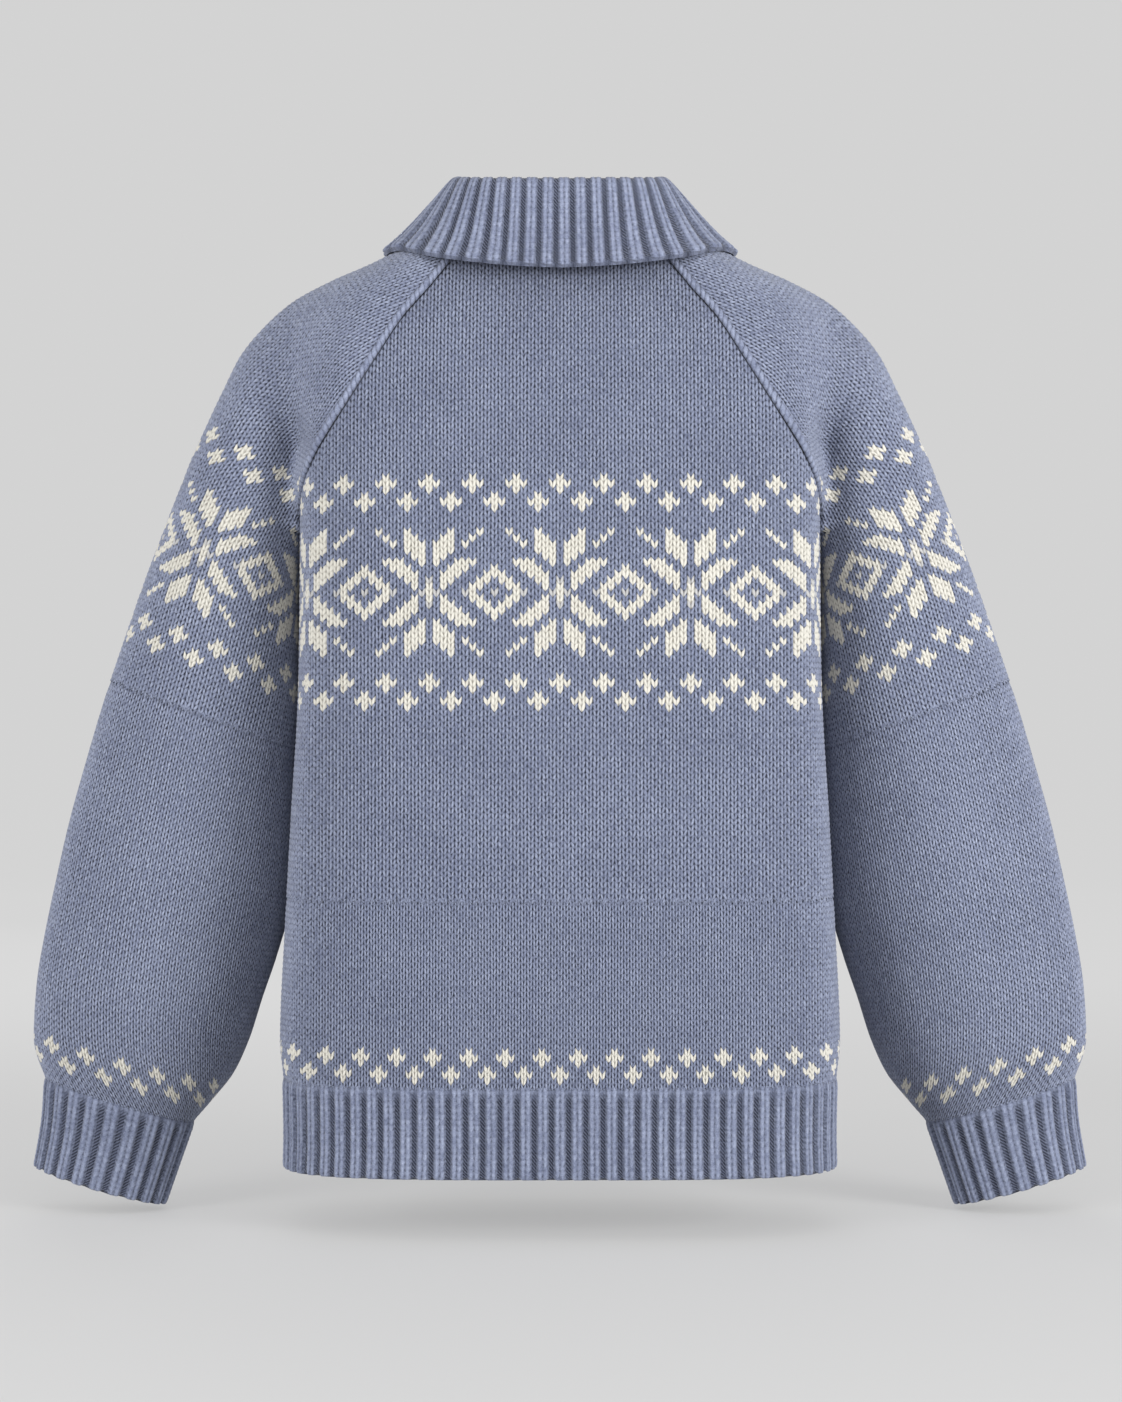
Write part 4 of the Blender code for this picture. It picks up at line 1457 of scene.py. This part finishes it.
def front_cloth(heights: Array, rate: float, columns: int = 161) -> Cloth:
    """The wearer's left front between two heights, by even wales round its outline.

    Args:
        heights: Heights of the rows, from the top down.
        rate: How many more wales there are than at the chest.
        columns: Points across.

    Returns:
        The cloth.
    """
    rows, ends = [], []
    for height in heights:
        x, y, run = FORM.quarter(height, Side.FRONT)
        end = raglan_reach(height, Side.FRONT)
        last = run[-1] if end is None else np.interp(end, x, run)
        first = min(np.interp(neckline_start(height), x, run), last - LEAST_FRONT)
        rows.append(outline_row(np.linspace(first, last, columns), run, x, y, height))
        ends.append((first, last))
    low, high = np.array(ends).T / WALE * rate + 0.5
    return Cloth(np.array(rows), body_course(heights), low, high, (0.0, -1.0, 0.0))


@dataclass(frozen=True)
class SleeveForm:
    """The left sleeve's sections, from the table."""

    arch_fullness: float = 2.0
    oval_fullness: float = 0.82
    crease_rise: float = 6.0

    def bumps(self, table: Sequence[Bump], station: Array, place: Array, side: Side) -> Array:
        """Height of a table's ridges and troughs.

        Each is height times cosine squared along the sleeve times exp(-(offset / width) squared).

        Args:
            table: Creases or folds.
            station: Place along the sleeve.
            place: Place across it, as the table counts it.
            side: Back or front.

        Returns:
            How far the wall is raised.
        """
        total = np.zeros(np.broadcast(station, place).shape)
        for bump in table:
            span = np.where(station > bump.full, bump.end - bump.full, bump.full - bump.start)
            share = np.clip(np.abs(station - bump.full) / span, 0, 1)
            strength = np.cos(math.pi / 2 * share) ** 2 * (bump.side == side.value)
            total += bump.height * strength * np.exp(-(((place - bump.place) / bump.width) ** 2))
        return total

    def half(self, station: Array, turn: Array, side: Side) -> Array:
        """Half of each section, from the seam to the outer line.

        Distance and height go from the seam to the outer line by a power of the sine. Depth is
        the seam's own, dying away by a power of the cosine, plus swell times sine of twice the
        angle, to the fullness.

        Args:
            station: Places along the sleeve, one for each row.
            turn: Angles from 0 at the seam to a quarter turn at the outer line.
            side: Back or front.

        Returns:
            Points, a row for each station.
        """
        value = {
            name: smooth(column(SLEEVE, name), station)[:, None] for name in SleeveRow._fields[1:]
        }
        station = np.asarray(station, float)[:, None]
        turn = turn[None, :]
        closing, centre = value["closing"], value["centre_y"]
        fullness = self.arch_fullness + (self.oval_fullness - self.arch_fullness) * closing
        seam_x, seam_z = value[f"{side.word}_x"], value[f"{side.word}_z"]
        past = np.clip(station - ARMPIT_ROW, 0, 1)
        seam_y = FORM.depth(seam_x, seam_z, side)
        seam_y = np.where(station <= ARMPIT_ROW, seam_y, centre * past)
        reach = np.sin(turn) ** (1 + closing)
        x = seam_x + (value["outer_x"] - seam_x) * reach
        z = seam_z + (value["outer_z"] - seam_z) * reach
        fade = np.cos(turn).clip(0) ** value["hold"]
        belly = np.sin(2 * turn).clip(0) ** fullness
        y = centre + (seam_y - centre) * fade
        y = y + side.value * value[f"swell_{side.word}"] * belly
        creases = self.bumps(CREASES, station, x, side)
        y = y + creases * side.value * np.minimum(1, self.crease_rise * reach)
        y = y + self.bumps(FOLDS, station, turn, side) * side.value
        return np.stack(np.broadcast_arrays(x, y, z), axis=2)

    def sections(self, station: Array, columns: int) -> Array:
        """Whole sections, from the front seam over the arm to the back seam.

        Args:
            station: Places along the sleeve.
            columns: Points across, an odd number.

        Returns:
            Points, a row for each station.
        """
        turn = np.linspace(0, math.pi / 2, columns // 2 + 1)
        front = self.half(station, turn, Side.FRONT)
        back = self.half(station, turn[::-1], Side.BACK)
        return np.concatenate([front, back[:, 1:]], axis=1)


ARM = SleeveForm()


@dataclass(frozen=True)
class SleeveGauge:
    """Wales and courses of the sleeve. Course 0 is the star's middle, as seen on the back."""

    wale: float = 4.85
    course: float = 4.25
    star_station: float = 10.21
    star_x: float = 259.6
    path_turn: float = 0.95
    increase_course: float = 27.5
    bottom: float = 20.97
    stretched: tuple[float, ...] = (0, 3, 6, 8, 10, 14, 21)
    stretches: tuple[float, ...] = (1.5, 1.15, 0.6, 0.35, 0.22, 0.3, 0.45)
    rows: int = 260
    columns: int = 321
    samples: int = 400

    def wales(self, station: Array) -> tuple[Array, Array]:
        """Sections and their wale numbers, from the outer line to either seam.

        A wale is 1 + stretch times sine cubed of the angle times as wide as it is at the seam,
        so that it looks even from behind, and the stretch is most over the shoulder.

        Args:
            station: Places along the sleeve.

        Returns:
            The sections, and the wale number at each point, below 0 on the front.
        """
        points = ARM.sections(station, self.columns)
        turn = math.pi / 2 * wave((np.arange(self.columns - 1) + 0.5) / (self.columns - 1))
        most = np.interp(station, self.stretched, self.stretches)[:, None]
        rate = np.diff(arc(points), axis=1) / (self.wale * (1 + most * np.sin(turn) ** 3))
        run = np.concatenate([np.zeros((len(points), 1)), np.cumsum(rate, axis=1)], axis=1)
        return points, run - run[:, [self.columns // 2]]

    def ladder(self) -> tuple[Array, Array]:
        """Stations and their course numbers: length down the back face, in courses."""
        fine = np.linspace(0, len(SLEEVE) - 1, self.samples)
        run = arc(ARM.half(fine, np.array([self.path_turn]), Side.BACK)[:, 0])
        return fine, (run - np.interp(self.star_station, fine, run)) / self.course + 0.5

    def course_of(self, station: Array | float) -> Array:
        """Course numbers at stations."""
        return np.interp(station, *self.ladder())

    def station_of(self, course: float) -> float:
        """Station at a course number."""
        stations, courses = self.ladder()
        return float(np.interp(course, courses, stations))

    def star_wale(self) -> float:
        """Wale number, from the outer line, of the star's middle on the back."""
        row, wales = self.wales(np.array([self.star_station]))
        back = slice(self.columns // 2, None)
        return float(np.interp(-self.star_x, -row[0, back, 0], wales[0, back]))

    def cloth(self, start: float, end: float, rate: float) -> Cloth:
        """The sleeve between two stations.

        Wales are counted from the outer line, and the seams cut them off.

        Args:
            start: First station.
            end: Last station.
            rate: 1 above the increase, and the rate of increase below it.

        Returns:
            The cloth.
        """
        station = np.linspace(start, end, self.rows)
        points, wales = self.wales(station)
        evened = [
            read_path(row, numbers, np.linspace(numbers[0], numbers[-1], self.columns))
            for row, numbers in zip(points, wales)
        ]
        low, high = (wales[:, [0, -1]].T - self.star_wale()) * rate + 0.5
        return Cloth(np.array(evened), self.course_of(station), low, high, (1.0, 0.0, 0.0))


# Sub-assemblies


@dataclass
class Piece:
    """A finished piece with what it stands for."""

    made: bpy.types.Object
    nodes: tuple[str, ...]
    slot: str

    def cut(
        self, cloth: Cloth
    ) -> "Piece":
        """Args:
            cloth: The cloth that it is knitted on.

        Returns:
            The piece itself.
        """
        width, length, area = cloth.flat_size()
        area = min(area, width * length)
        return self

    def settle(self) -> None:
        """Rides the piece on the body and has it stand for its nodes."""
        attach(self.made, "root")
        if self.nodes:
            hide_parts(*self.nodes)


def above_and_below(
    upper: Cloth,
    lower: Cloth,
    charts: tuple[Chart, Chart],
    lines: tuple[int, int],
    sinks: tuple[float, float] = (0.0, 0.0),
) -> dict[str, Knitting]:
    """Knitting of the two parts of a piece, which meet at the row of increases.

    Args:
        upper: The cloth above the row.
        lower: The cloth below it.
        charts: The two parts' charts.
        lines: The two parts' lines of points to a course.
        sinks: How deep the upper part's first and last wales lie under a seam's raised edge.

    Returns:
        The knitting, by the part's name.
    """
    return {
        "upper": Knitting(
            upper,
            charts[0],
            lines_per_course=lines[0],
            sink_low=sinks[0],
            sink_high=sinks[1],
            joined_last=True,
            toothed=True,
        ),
        "lower": Knitting(
            lower,
            charts[1],
            lines_per_course=lines[1],
            joined_first=True,
            joined_last=True,
            climb=CLIMB,
        ),
    }


@dataclass
class Panels:
    """The back and the two fronts in stocking stitch, above and below the row of increases."""

    finish: WoolFinish
    rows: int = 220
    back_lines: int = 2
    front_lines: int = 1
    seam_sink: float = 0.9
    hem_crosses: tuple[CrossRow, ...] = (CrossRow(80, 3), CrossRow(83, 0))

    def build(self) -> list[Piece]:
        """Knits the six pieces.

        Returns:
            The pieces.
        """
        pieces = []
        for side in Side:
            back = side is Side.BACK
            lay = back_cloth if back else front_cloth
            top = NECK if back else FRONT_TOP
            knitted = above_and_below(
                lay(np.linspace(top, INCREASE - TOOTH, self.rows), 1.0),
                lay(np.linspace(INCREASE + UNDERLAP, RIB_TOP, self.rows), INCREASE_RATE),
                (BODY_BAND, Chart(False, self.hem_crosses)),
                (self.back_lines,) * 2 if back else (self.front_lines,) * 2,
                (self.seam_sink * back, self.seam_sink),
            )
            stems = {"back": Hand.LEFT} if back else {f"front_{hand.word}": hand for hand in Hand}
            for part, knitting in knitted.items():
                for stem, hand in stems.items():
                    node = "back_panel" if back else stem
                    made = knitting.build(f"{stem}_{part}").make(self.finish, hand)
                    piece = Piece(made, (node,), "wool")
                    pieces.append(piece.cut(knitting.cloth))
        return pieces


@dataclass(frozen=True)
class Rope:
    """The raised edge along a raglan seam: one wale of slanted stitches.

    Across it the height is rise times the half circle, and along it each stitch swells by
    a sine that is turned to a slant.
    """

    rise: float = 1.7
    wales: float = 1.25
    stitch: float = 5.4
    slant: float = 0.6
    step: float = 0.9
    columns: int = 13
    swell: float = 0.4
    lift: float = 0.2
    bed: float = 0.1
    depth: float = 0.9
    taper: float = 6.0
    short_of_armpit: float = 0.15

    def lay(self, cloth: Cloth, last: float, side: Side, name: str) -> Fabric:
        """Lays the rope along the sleeve's seam.

        Args:
            cloth: The sleeve.
            last: Course at which the rope ends.
            side: Back or front.
            name: Its name.

        Returns:
            The fabric.
        """
        back = side is Side.BACK
        edge = cloth.high if back else cloth.low
        edge_at = cloth.courses[cloth.courses <= last]
        path, _ = cloth.at(edge[: len(edge_at)], edge_at)
        run = arc(path)
        length = np.linspace(0, run[-1], int(run[-1] / self.step))
        courses = np.interp(length, run, edge_at)
        limit = np.interp(courses, cloth.courses, edge)
        across = np.linspace(0, 1, self.columns)
        wales = limit[:, None] + (-1.0 if back else 1.0) * across[None, :] * self.wales
        points, normals = cloth.at(wales, np.repeat(courses[:, None], self.columns, axis=1))
        phase = length[:, None] / self.stitch + self.slant * across[None, :]
        round_over = np.sqrt(np.clip(1 - (2 * across - 1) ** 2, 0, 1))
        swell = 1 - self.swell + self.swell * np.abs(np.sin(math.pi * phase))
        ends = np.clip(np.minimum(length, run[-1] - length) / self.taper, 0, 1)[:, None]
        height = (self.rise * round_over * swell + self.lift) * ends - self.bed
        top = points + normals * height[..., None]
        under = points - normals * self.depth
        shape = phase.shape
        count = phase.size
        layout = pairs(across, np.linspace(0, 1, shape[0])[:, None])
        layout = np.concatenate([layout * (0.5, 1), layout * (0.4, 1) + (0.55, 0)])
        ids = np.arange(count).reshape(shape)
        over = grid_faces(ids)
        walls = []
        for edge_ids, flipped in (
            (ids[0], True),
            (ids[-1], False),
            (ids[:, 0], False),
            (ids[:, -1], True),
        ):
            at = np.arange(len(edge_ids), dtype=float)
            wall = strip(edge_ids, at, edge_ids + count, at)
            walls.append(wall[:, ::-1] if flipped else wall)
        faces = np.concatenate([over, over[:, ::-1] + count, *walls])
        return Fabric(
            name,
            np.concatenate([top.reshape(-1, 3), under.reshape(-1, 3)]),
            np.concatenate([pairs(across * 0.5, phase)] * 2),
            [Patch(faces, layout[faces])],
        )


@dataclass
class Sleeves:
    """Both sleeves, with the raised raglan edge down each seam."""

    finish: WoolFinish
    edging: WoolFinish
    gauge: SleeveGauge = SleeveGauge()
    rope: Rope = Rope()
    upper_lines: int = 2
    lower_lines: int = 1
    crosses_up: int = 5

    def crosses(self) -> tuple[CrossRow, ...]:
        """The two rows of crosses above the cuff."""
        low = math.floor(self.gauge.course_of(self.gauge.bottom)) - self.crosses_up
        return (CrossRow(low - 3, 3), CrossRow(low, 5))

    def build(self) -> list[Piece]:
        """Knits the sleeves and their raglan edges.

        Returns:
            The pieces.
        """
        gauge = self.gauge
        tooth = gauge.station_of(gauge.increase_course + TOOTH / gauge.course)
        underlap = gauge.station_of(gauge.increase_course - UNDERLAP / gauge.course)
        knitted = above_and_below(
            gauge.cloth(0.0, tooth, 1.0),
            gauge.cloth(underlap, gauge.bottom, INCREASE_RATE),
            (SLEEVE_BAND, Chart(False, self.crosses())),
            (self.upper_lines, self.lower_lines),
        )
        rope_end = float(gauge.course_of(ARMPIT_ROW - self.rope.short_of_armpit))
        pieces = []
        for part, knitting in knitted.items():
            for hand in Hand:
                stem = f"sleeve_{hand.word}"
                made = knitting.build(f"{stem}_{part}").make(self.finish, hand)
                piece = Piece(made, (stem,), "wool")
                pieces.append(piece)
                if part == "lower":
                    piece.cut(knitting.cloth)
                    continue
                ropes = []
                for side in Side:
                    name = f"raglan_{side.word}_{hand.word}"
                    rope = self.rope.lay(knitting.cloth, rope_end, side, name)
                    ropes.append(rope.make(self.edging, hand))
                piece.cut(knitting.cloth)
                pieces += [Piece(rope, (), "wool") for rope in ropes]
        return pieces


@dataclass
class Ribs:
    """Hem, cuffs and button bands in two by two rib."""

    finish: WoolFinish
    hem_ribs_back: float = 22.5
    hem_ribs_front: float = 21.0
    cuff_ribs: int = 22
    cuff_start: float = -0.06
    band_ribs: int = 3
    band_step: float = 5.0
    band_gap: float = 0.15
    columns: int = 281
    rows: int = 40
    band_columns: int = 41
    band_rows: int = 120

    def hem(self, side: Side) -> Cloth:
        """The hem's cloth on a side: whole ribs spread along its outline.

        Args:
            side: Back or front.

        Returns:
            The cloth.
        """
        back = side is Side.BACK
        heights = np.linspace(RIB_TOP + UNDERLAP, HEM, self.rows)
        rows = []
        for height in heights:
            x, y, run = FORM.quarter(height, side)
            if back:
                place = np.linspace(-run[-1], run[-1], 2 * self.columns - 1)
            else:
                place = np.linspace(np.interp(BAND_HALF_WIDTH, x, run), run[-1], self.columns)
            rows.append(outline_row(place, run, x, y, height))
        half = RIB_WALES * (self.hem_ribs_back if back else self.hem_ribs_front)
        low = np.full(self.rows, 2 - half if back else 0.0)
        high = np.full(self.rows, 2 + half if back else half)
        courses = (RIB_TOP - heights) / COURSE
        return Cloth(np.array(rows), courses, low, high, (0.0, float(side.value), 0.0))

    def cuff(self) -> Cloth:
        """The left cuff's cloth: ovals leaning with the arm, from the underarm and round.

        At a share of the turn, reach is (1 - cosine) / 2 and depth is half depth times sine.

        Returns:
            The cloth.
        """
        place = np.linspace(self.cuff_start, len(CUFF) - 1, self.rows)
        value = {name: smooth(column(CUFF, name), place)[:, None] for name in CuffRow._fields[1:]}
        angle = 2 * math.pi * np.linspace(0, 1, self.columns)[None, :]
        reach = (1 - np.cos(angle)) / 2
        x = value["inner_x"] + (value["outer_x"] - value["inner_x"]) * reach
        z = value["inner_z"] + (value["outer_z"] - value["inner_z"]) * reach
        y = value["centre_y"] - value["half_depth"] * np.sin(angle)
        points = np.stack([x, y, z], axis=2)
        courses = (arc(points[:, self.columns // 2]) - UNDERLAP) / COURSE
        high = np.full(self.rows, float(RIB_WALES * self.cuff_ribs))
        return Cloth(points, courses, np.zeros(self.rows), high, (1.0, 0.0, 0.0))

    def band(self, lift: float) -> Cloth:
        """A button band's cloth.

        Args:
            lift: How far it is lifted off the front.

        Returns:
            The cloth.
        """
        heights = np.linspace(FRONT_NECK, HEM, self.band_rows)
        half = BAND_HALF_WIDTH - self.band_gap
        across = np.linspace(-half, half, self.band_columns)
        deep = FORM.depth(np.zeros(self.band_rows), heights, Side.FRONT) - lift
        rows = np.broadcast_arrays(across[None, :], deep[:, None], heights[:, None])
        high = np.full(self.band_rows, float(RIB_WALES * self.band_ribs))
        courses = (FRONT_NECK - heights) / COURSE
        low = np.zeros(self.band_rows)
        return Cloth(np.stack(rows, axis=2), courses, low, high, (0.0, -1.0, 0.0))

    def knit(
        self, cloth: Cloth, name: str, node: str, held_by: str, hand: Hand = Hand.LEFT
    ) -> Piece:
        """Knits one strip.

        Args:
            cloth: The strip.
            name: The piece's name.
            node: The node that it stands for.
            held_by: What it hangs from; not used.
            hand: Left or right.

        Returns:
            The piece.
        """
        fine = node == "hem_rib_back" or node.startswith("cuff")
        knitting = Knitting(
            cloth,
            structure=Structure.RIB,
            lines_per_course=2 if fine else 1,
            joined_first=not node.startswith("band"),
        )
        made = knitting.build(name).make(self.finish, hand)
        return Piece(made, (node,), "rib").cut(cloth)

    def build(self) -> list[Piece]:
        """Knits all the ribbed strips but the collar.

        Returns:
            The pieces.
        """
        pieces = [self.knit(self.hem(Side.BACK), "hem_back", "hem_rib_back", "back_lower")]
        for hand in Hand:
            hem, cuff, word = self.hem(Side.FRONT), self.cuff(), hand.word
            pieces += [
                self.knit(hem, f"hem_{word}", f"hem_rib_{word}", f"front_{word}_lower", hand),
                self.knit(cuff, f"cuff_{word}_knit", f"cuff_{word}", f"sleeve_{word}_lower", hand),
            ]
        for node, lift in (("band_under", 0.0), ("band_over", self.band_step)):
            pieces.append(self.knit(self.band(lift), f"{node}_knit", node, "collar_knit"))
        return pieces


@dataclass
class Collar:
    """A ribbed strip that stands up from the neck seam, folds over and falls outside."""

    finish: WoolFinish
    ribs_half: int = 20
    stand_rows: int = 40
    fall_rows: int = 60
    half_columns: int = 161
    seam_samples: tuple[int, int, int] = (12, 49, 24)
    cloth_depth: float = 3.4
    seam_gap: float = 0.6
    stand_pull: float = 1.1
    fold_pull_stand: float = 32.0
    fold_pull_fall: float = 15.0
    edge_pull: float = 0.9
    flare: float = 18.0
    fall_ease: float = 0.35
    end: float = 3.0

    def seam(self, share: Array) -> Array:
        """The neck seam, from the middle of the back round to the front end, by its length.

        Args:
            share: Shares of its length.

        Returns:
            Points.
        """
        back_samples, side_samples, front_samples = self.seam_samples
        back_x, back_z = FORM.raglan(Side.BACK, 0.0)
        x = np.linspace(0, back_x, back_samples)
        height = np.full(back_samples, back_z)
        back = np.stack([x, FORM.depth(x, height, Side.BACK), height], axis=1)
        side = ARM.sections(np.zeros(1), side_samples)[0][::-1]
        steps = np.linspace(0, 1, front_samples)
        front_x, front_z = FORM.raglan(Side.FRONT, 0.0)
        x = np.append(front_x + (BAND_HALF_WIDTH - front_x) * steps, self.end)
        z = np.append(FRONT_NECK + (front_z - FRONT_NECK) * (1 - steps) ** SCOOP, FRONT_NECK)
        front = np.stack([x, FORM.depth(x, z, Side.FRONT), z], axis=1)
        path = np.concatenate([back, side[1:], front[1:]])
        run = arc(path)
        return read_path(path, run, share * run[-1])

    def cloth(self) -> Cloth:
        """The strip's cloth: two cubics a column, seam to fold and fold to edge.

        Returns:
            The cloth.
        """
        half = np.linspace(0, 1, self.half_columns)
        place = np.interp(half, column(COLLAR, "share"), np.arange(len(COLLAR)))
        fold, edge = (
            np.stack([smooth(column(COLLAR, f"{spot}_{axis}"), place) for axis in "xyz"], axis=1)
            for spot in ("fold", "edge")
        )
        fall = edge - fold
        spread = unit(fall * (1, 1, 0))
        seam = self.seam(half) - spread * (self.cloth_depth + self.seam_gap)
        seam[:, 2] += self.seam_gap
        rise = np.zeros_like(seam)
        rise[:, 2] = np.linalg.norm(fold - seam, axis=1) * self.stand_pull
        stand_at = np.linspace(0, 1, self.stand_rows)[:, None, None]
        stand = cubic(seam, rise, fold, spread * self.fold_pull_stand, stand_at)
        step = np.linspace(0, 1, self.fall_rows)[1:, None, None]
        eased = step * (1 - self.fall_ease) + self.fall_ease * step**2
        falling = fall * self.edge_pull + spread * self.flare
        over = cubic(fold, spread * self.fold_pull_fall, edge, falling, eased)
        rows = np.concatenate([stand, over])
        rows[:, 0, 0] = 0
        whole = np.concatenate([rows[:, :0:-1] * (-1, 1, 1), rows], axis=1)
        high = np.full(len(rows), float(RIB_WALES * self.ribs_half))
        return Cloth(whole, arc(rows[:, 0]) / COURSE, -high - 1, high - 1)

    def build(self) -> list[Piece]:
        """Knits the collar.

        Returns:
            The piece.
        """
        cloth = self.cloth()
        knitting = Knitting(
            cloth,
            structure=Structure.RIB,
            fold_course=float(cloth.courses[self.stand_rows]),
            thickness=self.cloth_depth,
            inner_columns=90,
            inner_step=4,
        )
        made = knitting.build("collar_knit").make(self.finish)
        return [Piece(made, ("collar",), "rib").cut(cloth)]


@dataclass
class Buttons:
    """Six round buttons with a rim and four holes, sewn to the outer band.

    Lengths are in mm, and flat and hole_depth are shares of the thickness.
    """

    finish: HornFinish
    count: int = 6
    radius: float = 11.0
    thick: float = 3.6
    flat: float = 0.66
    rim: float = 1.6
    holes: int = 4
    hole: float = 1.1
    hole_reach: float = 2.6
    hole_depth: float = 0.6
    rings: int = 22
    ring_power: float = 0.8
    sides: int = 48

    def disc(self, name: str, node: str) -> Piece:
        """One button, laid over its node.

        Its face is flat, rises to the rim and rounds over, and each hole is a dip of depth
        times exp(-(distance / hole) to the 4th).

        Args:
            name: The piece's name.
            node: The node that it stands for.

        Returns:
            The piece.
        """
        corner, far = (np.array(end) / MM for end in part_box(node))
        middle = (corner + far) / 2
        r = np.linspace(0, 1, self.rings) ** self.ring_power * self.radius
        turn = np.arange(self.sides) / self.sides * 2 * math.pi
        r, turn = np.meshgrid(r, turn, indexing="ij")
        x, z = r * np.cos(turn), r * np.sin(turn)
        near = np.exp(-(((r - (self.radius - self.rim)) / self.rim) ** 2))
        face = self.thick * (self.flat + (1 - self.flat) * near)
        face = face * np.sqrt(np.clip(1 - (r / self.radius) ** 10, 0, 1))
        for angle in (np.arange(self.holes) + 0.5) * 2 * math.pi / self.holes:
            hole_x, hole_z = self.hole_reach * math.cos(angle), self.hole_reach * math.sin(angle)
            dip = np.exp(-((np.hypot(x - hole_x, z - hole_z) / self.hole) ** 4))
            face = face - self.thick * self.hole_depth * dip
        back_at = middle[1] + self.thick / 2
        front = np.stack([middle[0] + x, back_at - face, middle[2] + z], axis=2)
        back = np.stack([middle[0] + x, np.full_like(x, back_at), middle[2] + z], axis=2)
        points, faces = turned(np.concatenate([front, back[-2::-1]]), closed=True)
        if not outwards(points, faces):
            faces = faces[:, ::-1]
        return Piece(make_mesh(name, points * MM, faces, self.finish), (node,), "button")

    def build(self) -> list[Piece]:
        """Makes the buttons.

        Returns:
            The pieces.
        """
        numbers = range(1, self.count + 1)
        return [self.disc(f"horn_button_{number}", f"button_{number}") for number in numbers]


class Light(NamedTuple):
    """A square soft light: where it hangs, its side in metres and its power in watts."""

    name: str
    place: Triple
    size: float
    power: float


LIGHTS = (
    Light("key", (-2.3, 2.0, 0.15), 1.2, 74.0),
    Light("fill", (2.2, 2.1, 0.05), 1.2, 46.0),
    Light("front", (0.0, 3.2, -0.1), 1.2, 10.0),
    Light("top", (0.0, 1.6, 2.2), 2.0, 12.0),
    Light("face", (0.5, -3.2, 0.6), 2.0, 26.0),
)


@dataclass
class Studio:
    """Pale round backdrop that sweeps up on all sides, soft lights, and the camera, in metres."""

    finish: PaperFinish
    floor: float = -0.7065
    sweep: float = 1.5
    radius: float = 6.0
    height: float = 6.5
    sides: int = 96
    sweep_samples: int = 20
    floor_samples: int = 6
    aim: Triple = (0.0, 0.0, -0.35)
    sky: float = 0.4
    eye: Triple = (-0.00074, 2.6, -0.3226)
    lens: float = 90.2
    sensor: float = 36.0

    def backdrop(self) -> None:
        """The floor's disc, carried up on a quarter circle into a round wall.

        Its profile goes out along the floor, up the quarter circle, and is turned round z.
        """
        turn = np.linspace(0, math.pi / 2, self.sweep_samples)
        flat = np.linspace(0, self.radius - self.sweep, self.floor_samples)[:-1]
        out = self.radius - self.sweep + self.sweep * np.sin(turn)
        out = np.concatenate([flat, out, [self.radius]])[:, None]
        up = self.sweep - self.sweep * np.cos(turn)
        up = np.concatenate([0 * flat, up, [self.height]])[:, None] + self.floor
        angle = np.arange(self.sides) / self.sides * 2 * math.pi
        rings = np.broadcast_arrays(out * np.cos(angle), out * np.sin(angle), up)
        points, faces = turned(np.stack(rings, axis=2), closed=False)
        make_mesh("backdrop", points, faces[:, ::-1], self.finish)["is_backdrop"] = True

    def light(self, light: Light) -> None:
        """Hangs a light that the camera doesn't see, turned to the aim.

        Args:
            light: The light.
        """
        lamp = bpy.data.lights.new(light.name, "AREA")
        lamp.size = light.size
        lamp.energy = light.power
        made = link(light.name, lamp)
        made.visible_camera = False
        made.location = light.place
        x, y, z = np.subtract(self.aim, light.place)
        made.rotation_euler = (math.atan2(math.hypot(x, y), -z), 0, math.atan2(y, x) - math.pi / 2)

    def camera(self) -> None:
        """The camera, level and straight behind, at the photograph's height."""
        made = link("camera", bpy.data.cameras.new("camera"))
        made.data.lens = self.lens
        made.data.sensor_width = self.sensor
        made.location = self.eye
        made.rotation_euler = (math.pi / 2, 0, math.pi)
        bpy.context.scene.camera = made

    def build(self) -> None:
        """Sets up the stage."""
        scene = bpy.context.scene
        scene.view_settings.view_transform = "Standard"
        scene.world = bpy.data.worlds.new("Studio")
        scene.world.use_nodes = True
        background = scene.world.node_tree.nodes["Background"]
        background.inputs["Color"].default_value = (1, 1, 1, 1)
        background.inputs["Strength"].default_value = self.sky
        self.backdrop()
        for light in LIGHTS:
            self.light(light)
        self.camera()


def corners(bounds: Sequence[Sequence[float]]) -> list[list[float]]:
    """A box as plain lists of numbers."""
    return [[float(part) for part in corner] for corner in bounds]


def main() -> None:
    """Builds the stage and each sub-assembly in order."""
    logging.basicConfig(level=logging.INFO, format="%(message)s")
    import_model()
    solids = corners(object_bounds())
    Studio(PaperFinish()).build()
    wool = WoolFinish()
    # The body's wool painted lighter for the sleeves: painted light
    sleeve_wool_painted_lighter = WoolFinish(
        name="Blue-grey sleeve wool", light=(168, 176, 199), dark=(98, 105, 130)
    )
    # The rib's wool, its tones painted a little darker than the plain wool's: painted shade on the
    # ribs
    ribbed = WoolFinish(
        name="Blue-grey ribbed wool",
        light=(152, 160, 183),
        dark=(88, 95, 119),
        strands=True,
        furrow=0.42,
        corner=0.35,
        gap=0.08,
    )
    edging = WoolFinish(name="Blue-grey wool along the raglan", furrow=0.4, corner=0.3, gap=0.5)
    # The ribbed wool painted lighter on the collar, close to the plain wool's tones: less painted
    # shade there
    collar_wool = replace(
        ribbed, name="Blue-grey collar wool", light=(158, 166, 190), dark=(93, 100, 125)
    )
    pieces: list[Piece] = []
    for assembly in (
        Panels(wool),
        Sleeves(sleeve_wool_painted_lighter, edging),
        Ribs(ribbed),
        Collar(collar_wool),
        Buttons(HornFinish()),
    ):
        pieces += assembly.build()
        log.info("%s: done", type(assembly).__name__)
    for piece in pieces:
        piece.settle()
    visual = corners(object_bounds())


if __name__ == "__main__":
    main()
